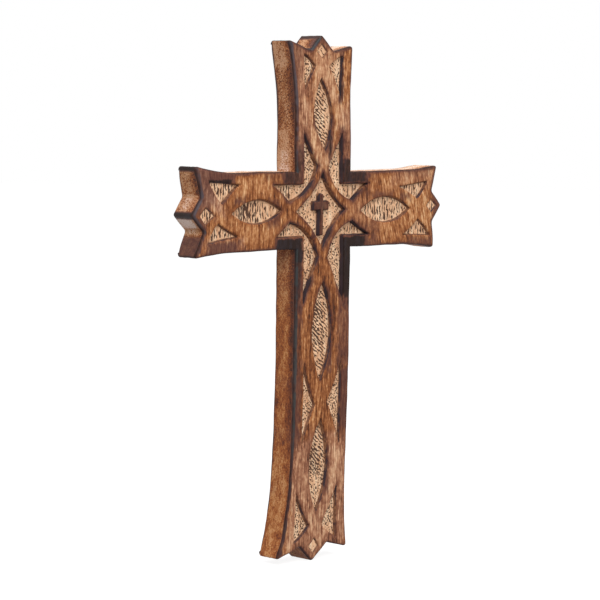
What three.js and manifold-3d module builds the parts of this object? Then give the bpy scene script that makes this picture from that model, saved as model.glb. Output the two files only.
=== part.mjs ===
// A carved wooden wall cross, in millimetres, with +Z up.
// The front faces -Y and the flat back lies on Y = 0. The origin is the middle of the crossing
// on the back, where the cross lies against the wall.

import * as THREE from 'three';
import { mergeVertices } from 'three/addons/utils/BufferGeometryUtils.js';
import Module from 'manifold-3d';

const wasm = await Module();
wasm.setup();

// The board and its two bars
const BOARD_THICKNESS = 17.4;
const POST_WIDTH = 44.8;
const ARM_HEIGHT = 44.6;
const ARRIS_RADIUS = 1.2;
const ARRIS_FACETS = 3;
const CORNER_FACETS = 3;
const INNER_CORNER_RADIUS = 0.9;

// Each bar, from the crossing's centre outwards. The reach is to the point that the middle tip
// would have if it were sharp, and back is a distance inwards from there. Left and right are as
// seen outwards along the bar, and an offset to the left is positive. The sides of an end differ
// because they were cut by eye.
const RIGHT_ARM = {
  reach: 103.5, width: ARM_HEIGHT, flareLength: 32, flareRise: 2.9, tipOffset: 0.6,
  left: { cornerBack: 4.1, notchBack: 8.6, notchOffset: 9.6 },
  right: { cornerBack: 5.1, notchBack: 7.7, notchOffset: 9.3 },
};
const LEFT_ARM = {
  reach: 101, width: ARM_HEIGHT, flareLength: 32, flareRise: 2.9, tipOffset: 1.3,
  left: { cornerBack: 3, notchBack: 9.6, notchOffset: 10.8 },
  right: { cornerBack: 3, notchBack: 7, notchOffset: 9.1, flareMore: 1.4 },
};
const HEAD = {
  reach: 100.9, width: POST_WIDTH, flareLength: 42, flareRise: 3.4, tipOffset: 0,
  left: { cornerBack: 3, notchBack: 9.2, notchOffset: 9.8 },
  right: { cornerBack: 5.4, notchBack: 9.2, notchOffset: 9.8 },
};
const FOOT = {
  reach: 205.7, width: POST_WIDTH, flareLength: 56, flareRise: 5.8, tipOffset: 0,
  left: { cornerBack: 5.2, notchBack: 10, notchOffset: 11.8 },
  right: { cornerBack: 3.6, notchBack: 10, notchOffset: 11.8 },
};
const FLARE_STEPS = 7;

// The post was sawn with a slight bend. Its middle line is furthest to the right at a height
// below the crossing and falls back to the left with the cube of the distance from there: by
// fall at 100 mm.
const POST_BEND = { furthest: 2.2, height: -40, fall: 1.42 };
const STRAIGHT_STEP = 25;
const CORNER_RADIUS = 1.6;
const NOTCH_RADIUS = 1;
const TIP_RADIUS = 1.8;

// The carving: recesses with a flat floor and leaning walls, sunk from the front
const CROSSING_DEPTH = 3;
const LEAF_DEPTH = 2.4;
const DART_DEPTH = 2;
const KITE_DEPTH = 0.9;
const WALL_LEAN = 0.55;
const CURVE_FACETS = 10;

// The sunk diamond at the crossing, and the small cross left standing in it
const DIAMOND = {
  left: 21, right: 20.2, leftHeight: -0.5,
  top: 21.9, topOffset: 0.8, bottom: 23, bottomOffset: 1.5, bow: 2.2,
};
const RELIEF = {
  top: 9, bottom: 14.6, stemWidth: 2.6, barLength: 12, barThickness: 4.7, barCentre: 2.5,
  lean: 0.35,
};

// The brackets in the four corners of the crossing. Their straight edges keep a margin to the
// edges of the bars, and their bowed edge follows the diamond between their two apexes.
const BRACKET = { armMargin: 7.1, armApex: 25.7, bow: 4.4, sideBow: 0.3 };
const BRACKETS = [
  { signX: 1, signY: 1, postMargin: 6.9, postTip: 45.4, postApex: 25.4, postApexOffset: 3.4,
    armTip: 39.7, armApexOffset: 5.1 },
  { signX: -1, signY: 1, postMargin: 6.1, postTip: 45.8, postApex: 25.4, postApexOffset: 4.8,
    armTip: 39.4, armApexOffset: 5.1 },
  { signX: 1, signY: -1, postMargin: 6.1, postTip: 54.7, postApex: 27.8, postApexOffset: 3.4,
    armTip: 40.7, armApexOffset: 6.9 },
  { signX: -1, signY: -1, postMargin: 6.1, postTip: 54.7, postApex: 27.2, postApexOffset: 3.8,
    armTip: 36.8, armApexOffset: 6.3 },
];

// The leaves, pointed at both ends, with the offset of each point to the bar's left
const LEFT_LEAF = { start: 31.8, startOffset: -0.6, endBack: 29.8, endOffset: 0.6, halfWidth: 7 };
const RIGHT_LEAF = {
  start: 32.4, startOffset: -0.9, endBack: 27.4, endOffset: -0.6, halfWidth: 7.8,
};
const HEAD_LEAF = {
  start: 34, startOffset: -1.2, endBack: 24.9, endOffset: 1.6, halfWidth: 7.4,
};
const UPPER_FOOT_LEAF = {
  start: 40.8, startOffset: 0, endBack: 105.4, endOffset: -1.2, halfWidth: 8,
};
const LOWER_FOOT_LEAF = {
  start: 122, startOffset: 0, endBack: 28.8, endOffset: 0, halfWidth: 7.7,
};

// The darts between the two lower leaves, on the foot's left and right
const MID_DART = { apexOffset: 4.7, bow: 0.9 };
const LEFT_MID_DART = { station: 112.3, halfLength: 26.3, margin: 6.1 };
const RIGHT_MID_DART = { station: 113.4, halfLength: 25.1, margin: 7.6 };

// The darts on a bar end's left and right, and the kite between them
const RIGHT_ARM_END = {
  left: { tipBack: 38.4, tipMargin: 9.8, cornerBack: 12.8, cornerMargin: 8.5,
    apexBack: 21.7, apexOffset: 4.9 },
  right: { tipBack: 33.9, tipMargin: 5.9, cornerBack: 9.7, cornerMargin: 6.7,
    apexBack: 20.7, apexOffset: 7.1 },
  kite: { startBack: 13.5, wideBack: 8.9, endBack: 4, halfWidth: 4.1 },
};
const LEFT_ARM_END = {
  left: { tipBack: 35.6, tipMargin: 8.8, cornerBack: 12.2, cornerMargin: 7,
    apexBack: 19.6, apexOffset: 5.5 },
  right: { tipBack: 36.6, tipMargin: 6.5, cornerBack: 12.2, cornerMargin: 5.9,
    apexBack: 22.4, apexOffset: 4.7 },
  kite: { startBack: 17.2, wideBack: 9.8, endBack: 4.9, halfWidth: 5.1 },
};
const HEAD_END = {
  left: { tipBack: 33.8, tipMargin: 7.6, cornerBack: 11.2, cornerMargin: 9.7,
    apexBack: 18, apexOffset: 5.6 },
  right: { tipBack: 37.2, tipMargin: 8, cornerBack: 11.8, cornerMargin: 7.8,
    apexBack: 18, apexOffset: 5.6 },
  kite: { startBack: 14, wideBack: 9.6, endBack: 4.8, halfWidth: 4.5 },
};
const FOOT_END = {
  left: { tipBack: 44.7, tipMargin: 6.5, cornerBack: 12.6, cornerMargin: 8.8,
    apexBack: 21.6, apexOffset: 5 },
  right: { tipBack: 41.3, tipMargin: 5.2, cornerBack: 12, cornerMargin: 10.2,
    apexBack: 21.6, apexOffset: 5 },
  kite: { startBack: 13.9, wideBack: 9.2, endBack: 4.4, halfWidth: 4.3 },
};
const DART_CORNER_BOW = 0.9;
const DART_SIDE_BOW = 0.7;

// The glue seams: the arms are blocks edge-glued and dowelled to the centre board
const SEAM_OFFSET = 46;
const DOWEL_RADIUS = 3;
const DOWEL_LENGTH = 40;
const DOWEL_END_ROOM = 1;
const DOWEL_SPACING = 24;
const DOWEL_DEPTH_FROM_BACK = 7;
const DOWEL_CHAMFER = 0.8;
const DOWEL_FACETS = 24;

// The hanger, let into the back: a ring that swings in a driven staple
const POCKET_WIDTH = 20;
const POCKET_LENGTH = 35;
const POCKET_DEPTH = 6;
const POCKET_FACETS = 14;
const HANGER_BELOW_HEAD = 34.9;
const HANGER_HEIGHT = HEAD.reach - HANGER_BELOW_HEAD;
const RING_WIRE_RADIUS = 1;
const RING_RADIUS = 6.5;
const RING_HEIGHT_IN_POCKET = 2.4;
const RING_FACETS = 40;
const STAPLE_WIRE_RADIUS = 0.8;
const STAPLE_LEG_IN_WOOD = 6.2;
const STAPLE_STEPS = 30;
const WIRE_FACETS = 12;
const HINGE_CLEARANCE = 0.35;

// What is let into the wood keeps this gap all round
const SEAT_GAP = 0.3;
const OVERRUN = 5;

// Drawing is done on the front: x runs to the right, y up, and z from the back to the front.
// This turns a drawing's axes into the cross's own.
const STAND_UP = new THREE.Matrix4().makeBasis(
  new THREE.Vector3(1, 0, 0), new THREE.Vector3(0, 0, 1), new THREE.Vector3(0, -1, 0));

// Moves a point drawn on a straight post over to the bent one
function onPost(x, y) {
  const fall = POST_BEND.fall * (Math.abs(y - POST_BEND.height) / 100) ** 3;
  return [x + POST_BEND.furthest - fall, y];
}

// Places a bar's drawing: along is its station, and across its offset to the bar's left
const PLACES = {
  right: (along, across) => [along, across],
  top: (along, across) => onPost(-across, along),
  left: (along, across) => [-along, -across],
  bottom: (along, across) => onPost(across, -along),
};

// Turns a closed geometry into a solid that can be cut and joined
function toSolid(geometry) {
  geometry.deleteAttribute('normal');
  geometry.deleteAttribute('uv');
  const merged = mergeVertices(geometry, 1e-5);
  return new wasm.Manifold(new wasm.Mesh({
    numProp: 3,
    vertProperties: merged.attributes.position.array,
    triVerts: Uint32Array.from(merged.index.array),
  }));
}

function toGeometry(solid) {
  const mesh = solid.getMesh();
  const geometry = new THREE.BufferGeometry();
  geometry.setAttribute('position', new THREE.BufferAttribute(mesh.vertProperties, 3));
  geometry.setIndex(new THREE.BufferAttribute(mesh.triVerts, 1));
  return geometry.applyMatrix4(STAND_UP);
}

// A closed outline of straight edges. Each corner is [x, y, radius] and is rounded to its radius.
function roundedOutline(corners) {
  const points = corners.map(([x, y]) => new THREE.Vector2(x, y));
  const shape = new THREE.Shape();
  shape.moveTo(points[0].x, points[0].y);
  points.slice(1).forEach((corner, i) => {
    const radius = corners[i + 1][2];
    if (radius === 0) {
      shape.lineTo(corner.x, corner.y);
      return;
    }
    const back = points[i].clone().sub(corner).normalize();
    const onward = points[(i + 2) % points.length].clone().sub(corner).normalize();
    const half = Math.acos(back.dot(onward)) / 2;
    const middle = back.clone().add(onward).setLength(radius / Math.sin(half)).add(corner);
    const from = back.multiplyScalar(radius / Math.tan(half)).add(corner).sub(middle).angle();
    const to = onward.clone().multiplyScalar(radius / Math.tan(half)).add(corner).sub(middle);
    const turnsRight = corner.clone().sub(points[i]).cross(onward) < 0;
    shape.absarc(middle.x, middle.y, radius, from, to.angle(), turnsRight);
  });
  return shape;
}

// A closed outline of bowed edges. Each corner is [x, y, bow], and bow is how far the edge from
// it to the next one swells outwards, on an outline drawn anticlockwise.
function bowedOutline(corners) {
  const ordered = anticlockwise(corners);
  const shape = new THREE.Shape();
  shape.moveTo(ordered[0][0], ordered[0][1]);
  ordered.forEach(([x, y, bow], i) => {
    const [nextX, nextY] = ordered[(i + 1) % ordered.length];
    const length = Math.hypot(nextX - x, nextY - y);
    const pull = 2 * bow / length;
    const middleX = (x + nextX) / 2 + pull * (nextY - y);
    const middleY = (y + nextY) / 2 - pull * (nextX - x);
    if (bow === 0) shape.lineTo(nextX, nextY);
    else shape.quadraticCurveTo(middleX, middleY, nextX, nextY);
  });
  return shape;
}

// Reverses a clockwise list of corners, and keeps each bow with its own edge
function anticlockwise(corners) {
  const outline = corners.map(([x, y]) => new THREE.Vector2(x, y));
  if (!THREE.ShapeUtils.isClockWise(outline)) return corners;
  return corners.map((corner, i) => [corner[0], corner[1], corners.at(i - 1)[2]]).reverse();
}

// A cutter for a recess sunk from the front: its walls lean in by lean from the rim to the floor
function recess(shape, depth, lean = WALL_LEAN) {
  const geometry = new THREE.ExtrudeGeometry(shape, {
    depth: OVERRUN, curveSegments: CURVE_FACETS, bevelEnabled: true, bevelSegments: 1,
    bevelThickness: depth, bevelSize: lean, bevelOffset: -lean,
  });
  return toSolid(geometry.translate(0, 0, BOARD_THICKNESS));
}

// One side of a bar's end, from near the crossing to the notch: [along, across, radius]
function endSide(bar, { cornerBack, notchBack, notchOffset, flareMore = 0 }) {
  const half = bar.width / 2;
  const rise = bar.flareRise + flareMore;
  const corner = bar.reach - cornerBack;
  const start = corner - bar.flareLength;
  const side = [];
  for (let along = start - STRAIGHT_STEP; along > POST_WIDTH; along -= STRAIGHT_STEP) {
    side.unshift([along, half, 0]);
  }
  for (let i = 0; i < FLARE_STEPS; i++) {
    const share = i / FLARE_STEPS;
    side.push([start + share * bar.flareLength, half + rise * share ** 2, 0]);
  }
  side.push([corner, half + rise, CORNER_RADIUS]);
  side.push([bar.reach - notchBack, notchOffset, NOTCH_RADIUS]);
  return side;
}

// A bar's whole end, anticlockwise
function barEnd(bar, place) {
  const right = endSide(bar, bar.right).map(([along, across, radius]) => [along, -across, radius]);
  const tip = [bar.reach, bar.tipOffset, TIP_RADIUS];
  const end = [...right, tip, ...endSide(bar, bar.left).reverse()];
  return end.map(([along, across, radius]) => [...place(along, across), radius]);
}

function crossOutline() {
  const innerCorner = (signX, signY) => {
    return [...onPost(signX * POST_WIDTH / 2, signY * ARM_HEIGHT / 2), INNER_CORNER_RADIUS];
  };
  return roundedOutline([
    ...barEnd(RIGHT_ARM, PLACES.right), innerCorner(1, 1), ...barEnd(HEAD, PLACES.top),
    innerCorner(-1, 1), ...barEnd(LEFT_ARM, PLACES.left), innerCorner(-1, -1),
    ...barEnd(FOOT, PLACES.bottom), innerCorner(1, -1),
  ]);
}

// The blank: the cross's outline at full thickness, with rounded arrises front and back
function blank() {
  const geometry = new THREE.ExtrudeGeometry(crossOutline(), {
    depth: BOARD_THICKNESS - 2 * ARRIS_RADIUS, curveSegments: CORNER_FACETS, bevelEnabled: true,
    bevelSegments: ARRIS_FACETS, bevelThickness: ARRIS_RADIUS,
    bevelSize: ARRIS_RADIUS, bevelOffset: -ARRIS_RADIUS,
  });
  return toSolid(geometry.translate(0, 0, ARRIS_RADIUS));
}

function placed(corners, place) {
  return corners.map(([along, across, bow]) => [...place(along, across), bow]);
}

function leaf(place, bar, { start, startOffset, endBack, endOffset, halfWidth }) {
  const corners = [[start, startOffset, halfWidth], [bar.reach - endBack, endOffset, halfWidth]];
  return recess(bowedOutline(placed(corners, place)), LEAF_DEPTH);
}

// A dart on the left of a bar, or with side -1 on its right
function dart(place, side, corners) {
  const outline = corners.map(([along, across, bow]) => [along, side * across, bow]);
  return recess(bowedOutline(placed(outline, place)), DART_DEPTH);
}

function endDart(bar, { tipBack, tipMargin, cornerBack, cornerMargin, apexBack, apexOffset }) {
  const half = bar.width / 2;
  const share = 1 - (cornerBack - bar.left.cornerBack) / bar.flareLength;
  return [
    [bar.reach - tipBack, half - tipMargin, 0],
    [bar.reach - cornerBack, half + bar.flareRise * share ** 2 - cornerMargin, DART_CORNER_BOW],
    [bar.reach - apexBack, apexOffset, -DART_SIDE_BOW],
  ];
}

// The two darts and the kite at a bar's end
function endCarving(place, bar, end) {
  const { startBack, wideBack, endBack, halfWidth } = end.kite;
  const kite = [
    [bar.reach - startBack, bar.tipOffset, 0],
    [bar.reach - wideBack, bar.tipOffset + halfWidth, 0],
    [bar.reach - endBack, bar.tipOffset, 0],
    [bar.reach - wideBack, bar.tipOffset - halfWidth, 0],
  ];
  return [
    dart(place, 1, endDart(bar, end.left)), dart(place, -1, endDart(bar, end.right)),
    recess(bowedOutline(placed(kite, place)), KITE_DEPTH),
  ];
}

function midDart({ station, halfLength, margin }) {
  const edge = FOOT.width / 2 - margin;
  return [
    [station - halfLength, edge, 0],
    [station + halfLength, edge, -MID_DART.bow],
    [station, MID_DART.apexOffset, -MID_DART.bow],
  ];
}

// One corner bracket of the crossing. Its corners by the post follow the post's bend.
function bracket({ signX, signY, postMargin, postTip, postApex, postApexOffset, armTip,
  armApexOffset }) {
  const edgeX = POST_WIDTH / 2 - postMargin;
  const edgeY = ARM_HEIGHT / 2 - BRACKET.armMargin;
  return recess(bowedOutline([
    [...onPost(signX * edgeX, signY * edgeY), 0],
    [...onPost(signX * edgeX, signY * postTip), -BRACKET.sideBow],
    [...onPost(signX * postApexOffset, signY * postApex), BRACKET.bow],
    [signX * BRACKET.armApex, signY * armApexOffset, -BRACKET.sideBow],
    [signX * armTip, signY * edgeY, 0],
  ]), CROSSING_DEPTH);
}

// The diamond's recess, less the small cross that stands in it up to the front
function diamond() {
  const { left, right, leftHeight, top, topOffset, bottom, bottomOffset, bow } = DIAMOND;
  const outline = bowedOutline([
    [right, 0, -bow], [topOffset, top, -bow], [-left, leftHeight, -bow],
    [bottomOffset, -bottom, -bow],
  ]);
  const stem = RELIEF.stemWidth / 2;
  const bar = RELIEF.barLength / 2;
  const barTop = RELIEF.barCentre + RELIEF.barThickness / 2;
  const barBottom = RELIEF.barCentre - RELIEF.barThickness / 2;
  const side = [
    [stem, -RELIEF.bottom, 0], [stem, barBottom, 0], [bar, barBottom, 0],
    [bar, barTop, 0], [stem, barTop, 0], [stem, RELIEF.top, 0],
  ];
  const otherSide = side.map(([x, y, bow0]) => [-x, y, bow0]).reverse();
  const relief = recess(bowedOutline([...side, ...otherSide]), CROSSING_DEPTH, -RELIEF.lean);
  return recess(outline, CROSSING_DEPTH).subtract(relief);
}

function carving() {
  return [
    diamond(), ...BRACKETS.map(bracket),
    leaf(PLACES.left, LEFT_ARM, LEFT_LEAF), leaf(PLACES.right, RIGHT_ARM, RIGHT_LEAF),
    leaf(PLACES.top, HEAD, HEAD_LEAF),
    leaf(PLACES.bottom, FOOT, UPPER_FOOT_LEAF), leaf(PLACES.bottom, FOOT, LOWER_FOOT_LEAF),
    dart(PLACES.bottom, 1, midDart(LEFT_MID_DART)),
    dart(PLACES.bottom, -1, midDart(RIGHT_MID_DART)),
    ...endCarving(PLACES.left, LEFT_ARM, LEFT_ARM_END),
    ...endCarving(PLACES.right, RIGHT_ARM, RIGHT_ARM_END),
    ...endCarving(PLACES.top, HEAD, HEAD_END),
    ...endCarving(PLACES.bottom, FOOT, FOOT_END),
  ];
}

// Lays a bar that was made along y, a dowel or its hole, along x across one seam
function acrossSeam(geometry, { sign, height }) {
  return toSolid(geometry.rotateZ(-Math.PI / 2)
    .translate(sign * SEAM_OFFSET, height, DOWEL_DEPTH_FROM_BACK));
}

function dowel(place) {
  const half = DOWEL_LENGTH / 2;
  const profile = [
    [0, -half], [DOWEL_RADIUS - DOWEL_CHAMFER, -half], [DOWEL_RADIUS, DOWEL_CHAMFER - half],
    [DOWEL_RADIUS, half - DOWEL_CHAMFER], [DOWEL_RADIUS - DOWEL_CHAMFER, half], [0, half],
  ].map(([x, y]) => new THREE.Vector2(x, y));
  return acrossSeam(new THREE.LatheGeometry(profile, DOWEL_FACETS), place);
}

function dowelHole(place) {
  const radius = DOWEL_RADIUS + SEAT_GAP;
  const length = DOWEL_LENGTH + 2 * DOWEL_END_ROOM;
  return acrossSeam(new THREE.CylinderGeometry(radius, radius, length, DOWEL_FACETS), place);
}

const DOWEL_PLACES = [[-1, 'left'], [1, 'right']].flatMap(([sign, side]) => [
  { name: `dowel_${side}_upper`, sign, height: DOWEL_SPACING / 2 },
  { name: `dowel_${side}_lower`, sign, height: -DOWEL_SPACING / 2 },
]);

// The routed pocket for the hanger, round at both ends
function pocket() {
  const radius = POCKET_WIDTH / 2;
  const straight = POCKET_LENGTH / 2 - radius;
  const shape = new THREE.Shape();
  shape.absarc(0, HANGER_HEIGHT + straight, radius, 0, Math.PI);
  shape.absarc(0, HANGER_HEIGHT - straight, radius, Math.PI, 2 * Math.PI);
  const geometry = new THREE.ExtrudeGeometry(shape, {
    depth: POCKET_DEPTH + OVERRUN, curveSegments: POCKET_FACETS, bevelEnabled: false,
  });
  return toSolid(geometry.translate(0, 0, -OVERRUN));
}

// The staple straddles the ring's wire: two legs into the wood and a half-round crown
const STAPLE_BEND = RING_WIRE_RADIUS + HINGE_CLEARANCE + STAPLE_WIRE_RADIUS;
const HINGE_DEPTH = POCKET_DEPTH - RING_HEIGHT_IN_POCKET;

class StapleCurve extends THREE.Curve {
  getPoint(t, target = new THREE.Vector3()) {
    const leg = RING_HEIGHT_IN_POCKET + STAPLE_LEG_IN_WOOD;
    const bend = Math.PI * STAPLE_BEND;
    const along = t * (2 * leg + bend) - leg - bend / 2;
    const angle = THREE.MathUtils.clamp(along / STAPLE_BEND, -Math.PI / 2, Math.PI / 2);
    const downLeg = Math.max(Math.abs(along) - bend / 2, 0);
    return target.set(0, HANGER_HEIGHT + STAPLE_BEND * Math.sin(angle),
      HINGE_DEPTH - STAPLE_BEND * Math.cos(angle) + downLeg);
  }
}

function staple() {
  const section = new THREE.Shape();
  section.absarc(0, 0, STAPLE_WIRE_RADIUS, 0, 2 * Math.PI);
  return toSolid(new THREE.ExtrudeGeometry(section, {
    steps: STAPLE_STEPS, curveSegments: WIRE_FACETS / 2, bevelEnabled: false,
    extrudePath: new StapleCurve(),
  }));
}

function stapleHoles() {
  const radius = STAPLE_WIRE_RADIUS + SEAT_GAP;
  const bottom = POCKET_DEPTH + STAPLE_LEG_IN_WOOD + SEAT_GAP;
  const length = bottom - POCKET_DEPTH / 2;
  return [-1, 1].map(sign => {
    const geometry = new THREE.CylinderGeometry(radius, radius, length, WIRE_FACETS);
    return toSolid(geometry.rotateX(Math.PI / 2)
      .translate(0, HANGER_HEIGHT + sign * STAPLE_BEND, bottom - length / 2));
  });
}

// The ring hangs from the middle of the staple
function ring() {
  const geometry = new THREE.TorusGeometry(RING_RADIUS, RING_WIRE_RADIUS, WIRE_FACETS, RING_FACETS);
  return toSolid(geometry.translate(0, HANGER_HEIGHT - RING_RADIUS, HINGE_DEPTH));
}

// A block that reaches past the blank on every side but the seams
function slab(fromX, toX) {
  const height = 2 * (HEAD.reach + FOOT.reach);
  const geometry = new THREE.BoxGeometry(toX - fromX, height, 4 * BOARD_THICKNESS);
  return toSolid(geometry.translate((fromX + toX) / 2, 0, 0));
}

function woodenPieces() {
  let wood = blank();
  const holes = [...DOWEL_PLACES.map(dowelHole), ...stapleHoles()];
  for (const cutter of [...carving(), ...holes, pocket()]) {
    wood = wood.subtract(cutter);
  }
  const past = RIGHT_ARM.reach + OVERRUN;
  return {
    post: wood.intersect(slab(-SEAM_OFFSET, SEAM_OFFSET)),
    arm_left: wood.intersect(slab(-past, -SEAM_OFFSET)),
    arm_right: wood.intersect(slab(SEAM_OFFSET, past)),
  };
}

const mangoWood = new THREE.MeshStandardMaterial({ color: 0x94623c, roughness: 0.72 });
const dowelWood = new THREE.MeshStandardMaterial({ color: 0xd9b98a, roughness: 0.8 });
const brass = new THREE.MeshStandardMaterial({ color: 0xb8954a, roughness: 0.35, metalness: 1 });

const cross = new THREE.Group();

function add(name, solid, material) {
  const mesh = new THREE.Mesh(toGeometry(solid), material);
  mesh.name = name;
  cross.add(mesh);
}

for (const [name, solid] of Object.entries(woodenPieces())) add(name, solid, mangoWood);
for (const place of DOWEL_PLACES) add(place.name, dowel(place), dowelWood);
add('hanger_staple', staple(), brass);
add('hanger_ring', ring(), brass);

export default cross;
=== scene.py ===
"""A carved and scorched wooden wall cross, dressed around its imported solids.

Shapes are worked out in millimetres in the cross's own frame: x to the right, y from the front
(negative) to the wall (0), z up. They become metres when a mesh is made.
"""

import math
from collections import namedtuple

import bpy
import bmesh
import numpy as np
from mathutils import Matrix, Vector
from mathutils.geometry import tessellate_polygon


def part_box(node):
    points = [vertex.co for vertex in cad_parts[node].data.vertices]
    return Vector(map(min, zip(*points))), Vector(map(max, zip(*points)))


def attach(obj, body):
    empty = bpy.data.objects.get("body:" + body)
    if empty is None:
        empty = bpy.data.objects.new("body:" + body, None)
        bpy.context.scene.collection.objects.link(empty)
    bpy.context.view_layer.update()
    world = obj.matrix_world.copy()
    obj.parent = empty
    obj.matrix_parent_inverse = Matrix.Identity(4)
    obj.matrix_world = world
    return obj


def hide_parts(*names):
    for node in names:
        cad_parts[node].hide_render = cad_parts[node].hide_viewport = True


bl_info = {
    "name": "Carved wall cross",
    "version": (1, 0, 0),
    "blender": (4, 5, 0),
    "location": "3D View > Sidebar > Wall Cross",
    "description": "Makes the fine surfaces, finishes and stage of a carved wooden wall cross",
    "category": "Object",
}

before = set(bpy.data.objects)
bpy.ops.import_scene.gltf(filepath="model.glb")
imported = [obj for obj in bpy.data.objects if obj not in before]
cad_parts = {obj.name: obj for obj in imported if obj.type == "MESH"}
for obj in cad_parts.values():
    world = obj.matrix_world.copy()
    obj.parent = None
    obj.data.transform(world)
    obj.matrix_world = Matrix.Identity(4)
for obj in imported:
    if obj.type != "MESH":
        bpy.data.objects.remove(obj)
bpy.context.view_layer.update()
POST_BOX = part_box("post")
MM = 0.001

# The board and the bars, in millimetres, as in the solids. A reach is to the point that the
# middle tip would have if it were sharp, and back is a distance inwards from there. Left and
# right are as seen outwards along a bar, and an offset to its left is positive.
THICKNESS = 17.4
POST_HALF = 22.4
ARM_HALF = 22.3
Side = namedtuple("Side", "corner_back notch_back notch_offset more", defaults=(0.0,))
Bar = namedtuple("Bar", "reach half flare_length flare_rise tip_offset left right")
BARS = {
    "right": Bar(103.5, ARM_HALF, 32.0, 2.9, 0.6, Side(4.1, 8.6, 9.6), Side(5.1, 7.7, 9.3)),
    "left": Bar(101.0, ARM_HALF, 32.0, 2.9, 1.3, Side(3.0, 9.6, 10.8), Side(3.0, 7.0, 9.1, 1.4)),
    "top": Bar(100.9, POST_HALF, 42.0, 3.4, 0.0, Side(3.0, 9.2, 9.8), Side(5.4, 9.2, 9.8)),
    "bottom": Bar(205.7, POST_HALF, 56.0, 5.8, 0.0, Side(5.2, 10.0, 11.8), Side(3.6, 10.0, 11.8)),
}
# Where each bar leaves the crossing
BEGINS = {"right": POST_HALF, "left": POST_HALF, "top": ARM_HALF, "bottom": ARM_HALF}
BEND_FURTHEST = 2.2
BEND_HEIGHT = -40.0
BEND_FALL = 1.42
SEAM = 46.0

# The carving
CROSSING_DEPTH = 3.0
LEAF_DEPTH = 2.4
DART_DEPTH = 2.0
KITE_DEPTH = 0.9
# The diamond's corners, right, top, left and bottom, as (x, z), and how far its edges bow in
DIAMOND = ((20.2, 0.0), (0.8, 21.9), (-21.0, -0.5), (1.5, -23.0))
DIAMOND_BOW = 2.2
# The small cross in the diamond: how far up and down it reaches, its stem's width, and its bar's
# length, height and middle
RELIEF = {"top": 9.0, "bottom": 14.6, "stem": 2.6, "bar": 12.0, "thick": 4.7, "centre": 2.5}
# The brackets round the crossing. Each has an outer corner, set in from both bars' edges by the
# margins, a tip along each bar, and an apex behind each tip. A bowed edge joins the apexes. Tips
# and apexes are distances along a bar, and an apex's offset is its distance from that bar's
# middle.
BRACKET = {"arm_margin": 7.1, "arm_apex": 25.7, "bow": 4.4, "side_bow": 0.3}
Bracket = namedtuple(
    "Bracket", "sign_x sign_z post_margin post_tip post_apex apex_offset arm_tip arm_apex_offset"
)
BRACKETS = (
    Bracket(1, 1, 6.9, 45.4, 25.4, 3.4, 39.7, 5.1),
    Bracket(-1, 1, 6.1, 45.8, 25.4, 4.8, 39.4, 5.1),
    Bracket(1, -1, 6.1, 54.7, 27.8, 3.4, 40.7, 6.9),
    Bracket(-1, -1, 6.1, 54.7, 27.2, 3.8, 36.8, 6.3),
)
# Each leaf's bar, start, its offset, distance of its end from the bar's, its offset, half width
LEAVES = (
    ("left", 31.8, -0.6, 29.8, 0.6, 7.0), ("right", 32.4, -0.9, 27.4, -0.6, 7.8),
    ("top", 34.0, -1.2, 24.9, 1.6, 7.4), ("bottom", 40.8, 0.0, 105.4, -1.2, 8.0),
    ("bottom", 122.0, 0.0, 28.8, 0.0, 7.7),
)
# Each dart between the lower leaves: side of the foot, station, half length and margin
MID_DARTS = ((1, 112.3, 26.3, 6.1), (-1, 113.4, 25.1, 7.6))
MID_DART_APEX = 4.7
MID_DART_BOW = 0.9
Dart = namedtuple("Dart", "tip_back tip_margin corner_back corner_margin apex_back apex_offset")
# Each bar's left and right dart, and its kite: start, widest and end, from the tip, half width
ENDS = {
    "right": (Dart(38.4, 9.8, 12.8, 8.5, 21.7, 4.9), Dart(33.9, 5.9, 9.7, 6.7, 20.7, 7.1),
              (13.5, 8.9, 4.0, 4.1)),
    "left": (Dart(35.6, 8.8, 12.2, 7.0, 19.6, 5.5), Dart(36.6, 6.5, 12.2, 5.9, 22.4, 4.7),
             (17.2, 9.8, 4.9, 5.1)),
    "top": (Dart(33.8, 7.6, 11.2, 9.7, 18.0, 5.6), Dart(37.2, 8.0, 11.8, 7.8, 18.0, 5.6),
            (14.0, 9.6, 4.8, 4.5)),
    "bottom": (Dart(44.7, 6.5, 12.6, 8.8, 21.6, 5.0), Dart(41.3, 5.2, 12.0, 10.2, 21.6, 5.0),
               (13.9, 9.2, 4.4, 4.3)),
}
DART_CORNER_BOW = 0.9
DART_SIDE_BOW = 0.7

# The hanger
POCKET_WIDTH = 20.0
POCKET_LENGTH = 35.0
POCKET_DEPTH = 6.0
HANGER_HEIGHT = 66.0
RING_RADIUS = 6.5
RING_WIRE = 1.0
RING_IN_POCKET = 2.4
STAPLE_WIRE = 0.8
STAPLE_LEG = 6.2
HINGE_CLEARANCE = 0.35

# How finely the wood is worked out: grid lines at these distances from the outline, and rows
# down a side and round the back arris. Then the length of a bar's end whose grid lines turn to
# follow the notches, how far a notch's corners are eased, and the back arris as a share of the
# front one.
EDGE_ROWS = (0.0, 0.15, 0.4, 0.8, 1.3, 1.9, 2.5)
SIDE_ROWS = 20
BACK_ARRIS_ROWS = 4
END_LENGTH = 42.0
EASE = 1.1
BACK_ARRIS = 0.9
# Distances from the outline and into a recess count as this where they are longer, and a recess
# is measured up to some way round it, past which the nearest one counts as being far off
FURTHEST = 9.0
ROUND_RECESS = 4.0
FAR = 99.0
# How far the knife strays from a recess's line
KNIFE_STRAY = 0.16
# The angles, in degrees, from which an edge is shaded as sharp
WOOD_SHARP = 42
WIRE_SHARP = 60

# How finely the wires are worked out, along and around
RING_STEPS = 96
RING_SIDES = 24
STAPLE_STEPS = 140
STAPLE_SIDES = 20

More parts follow.
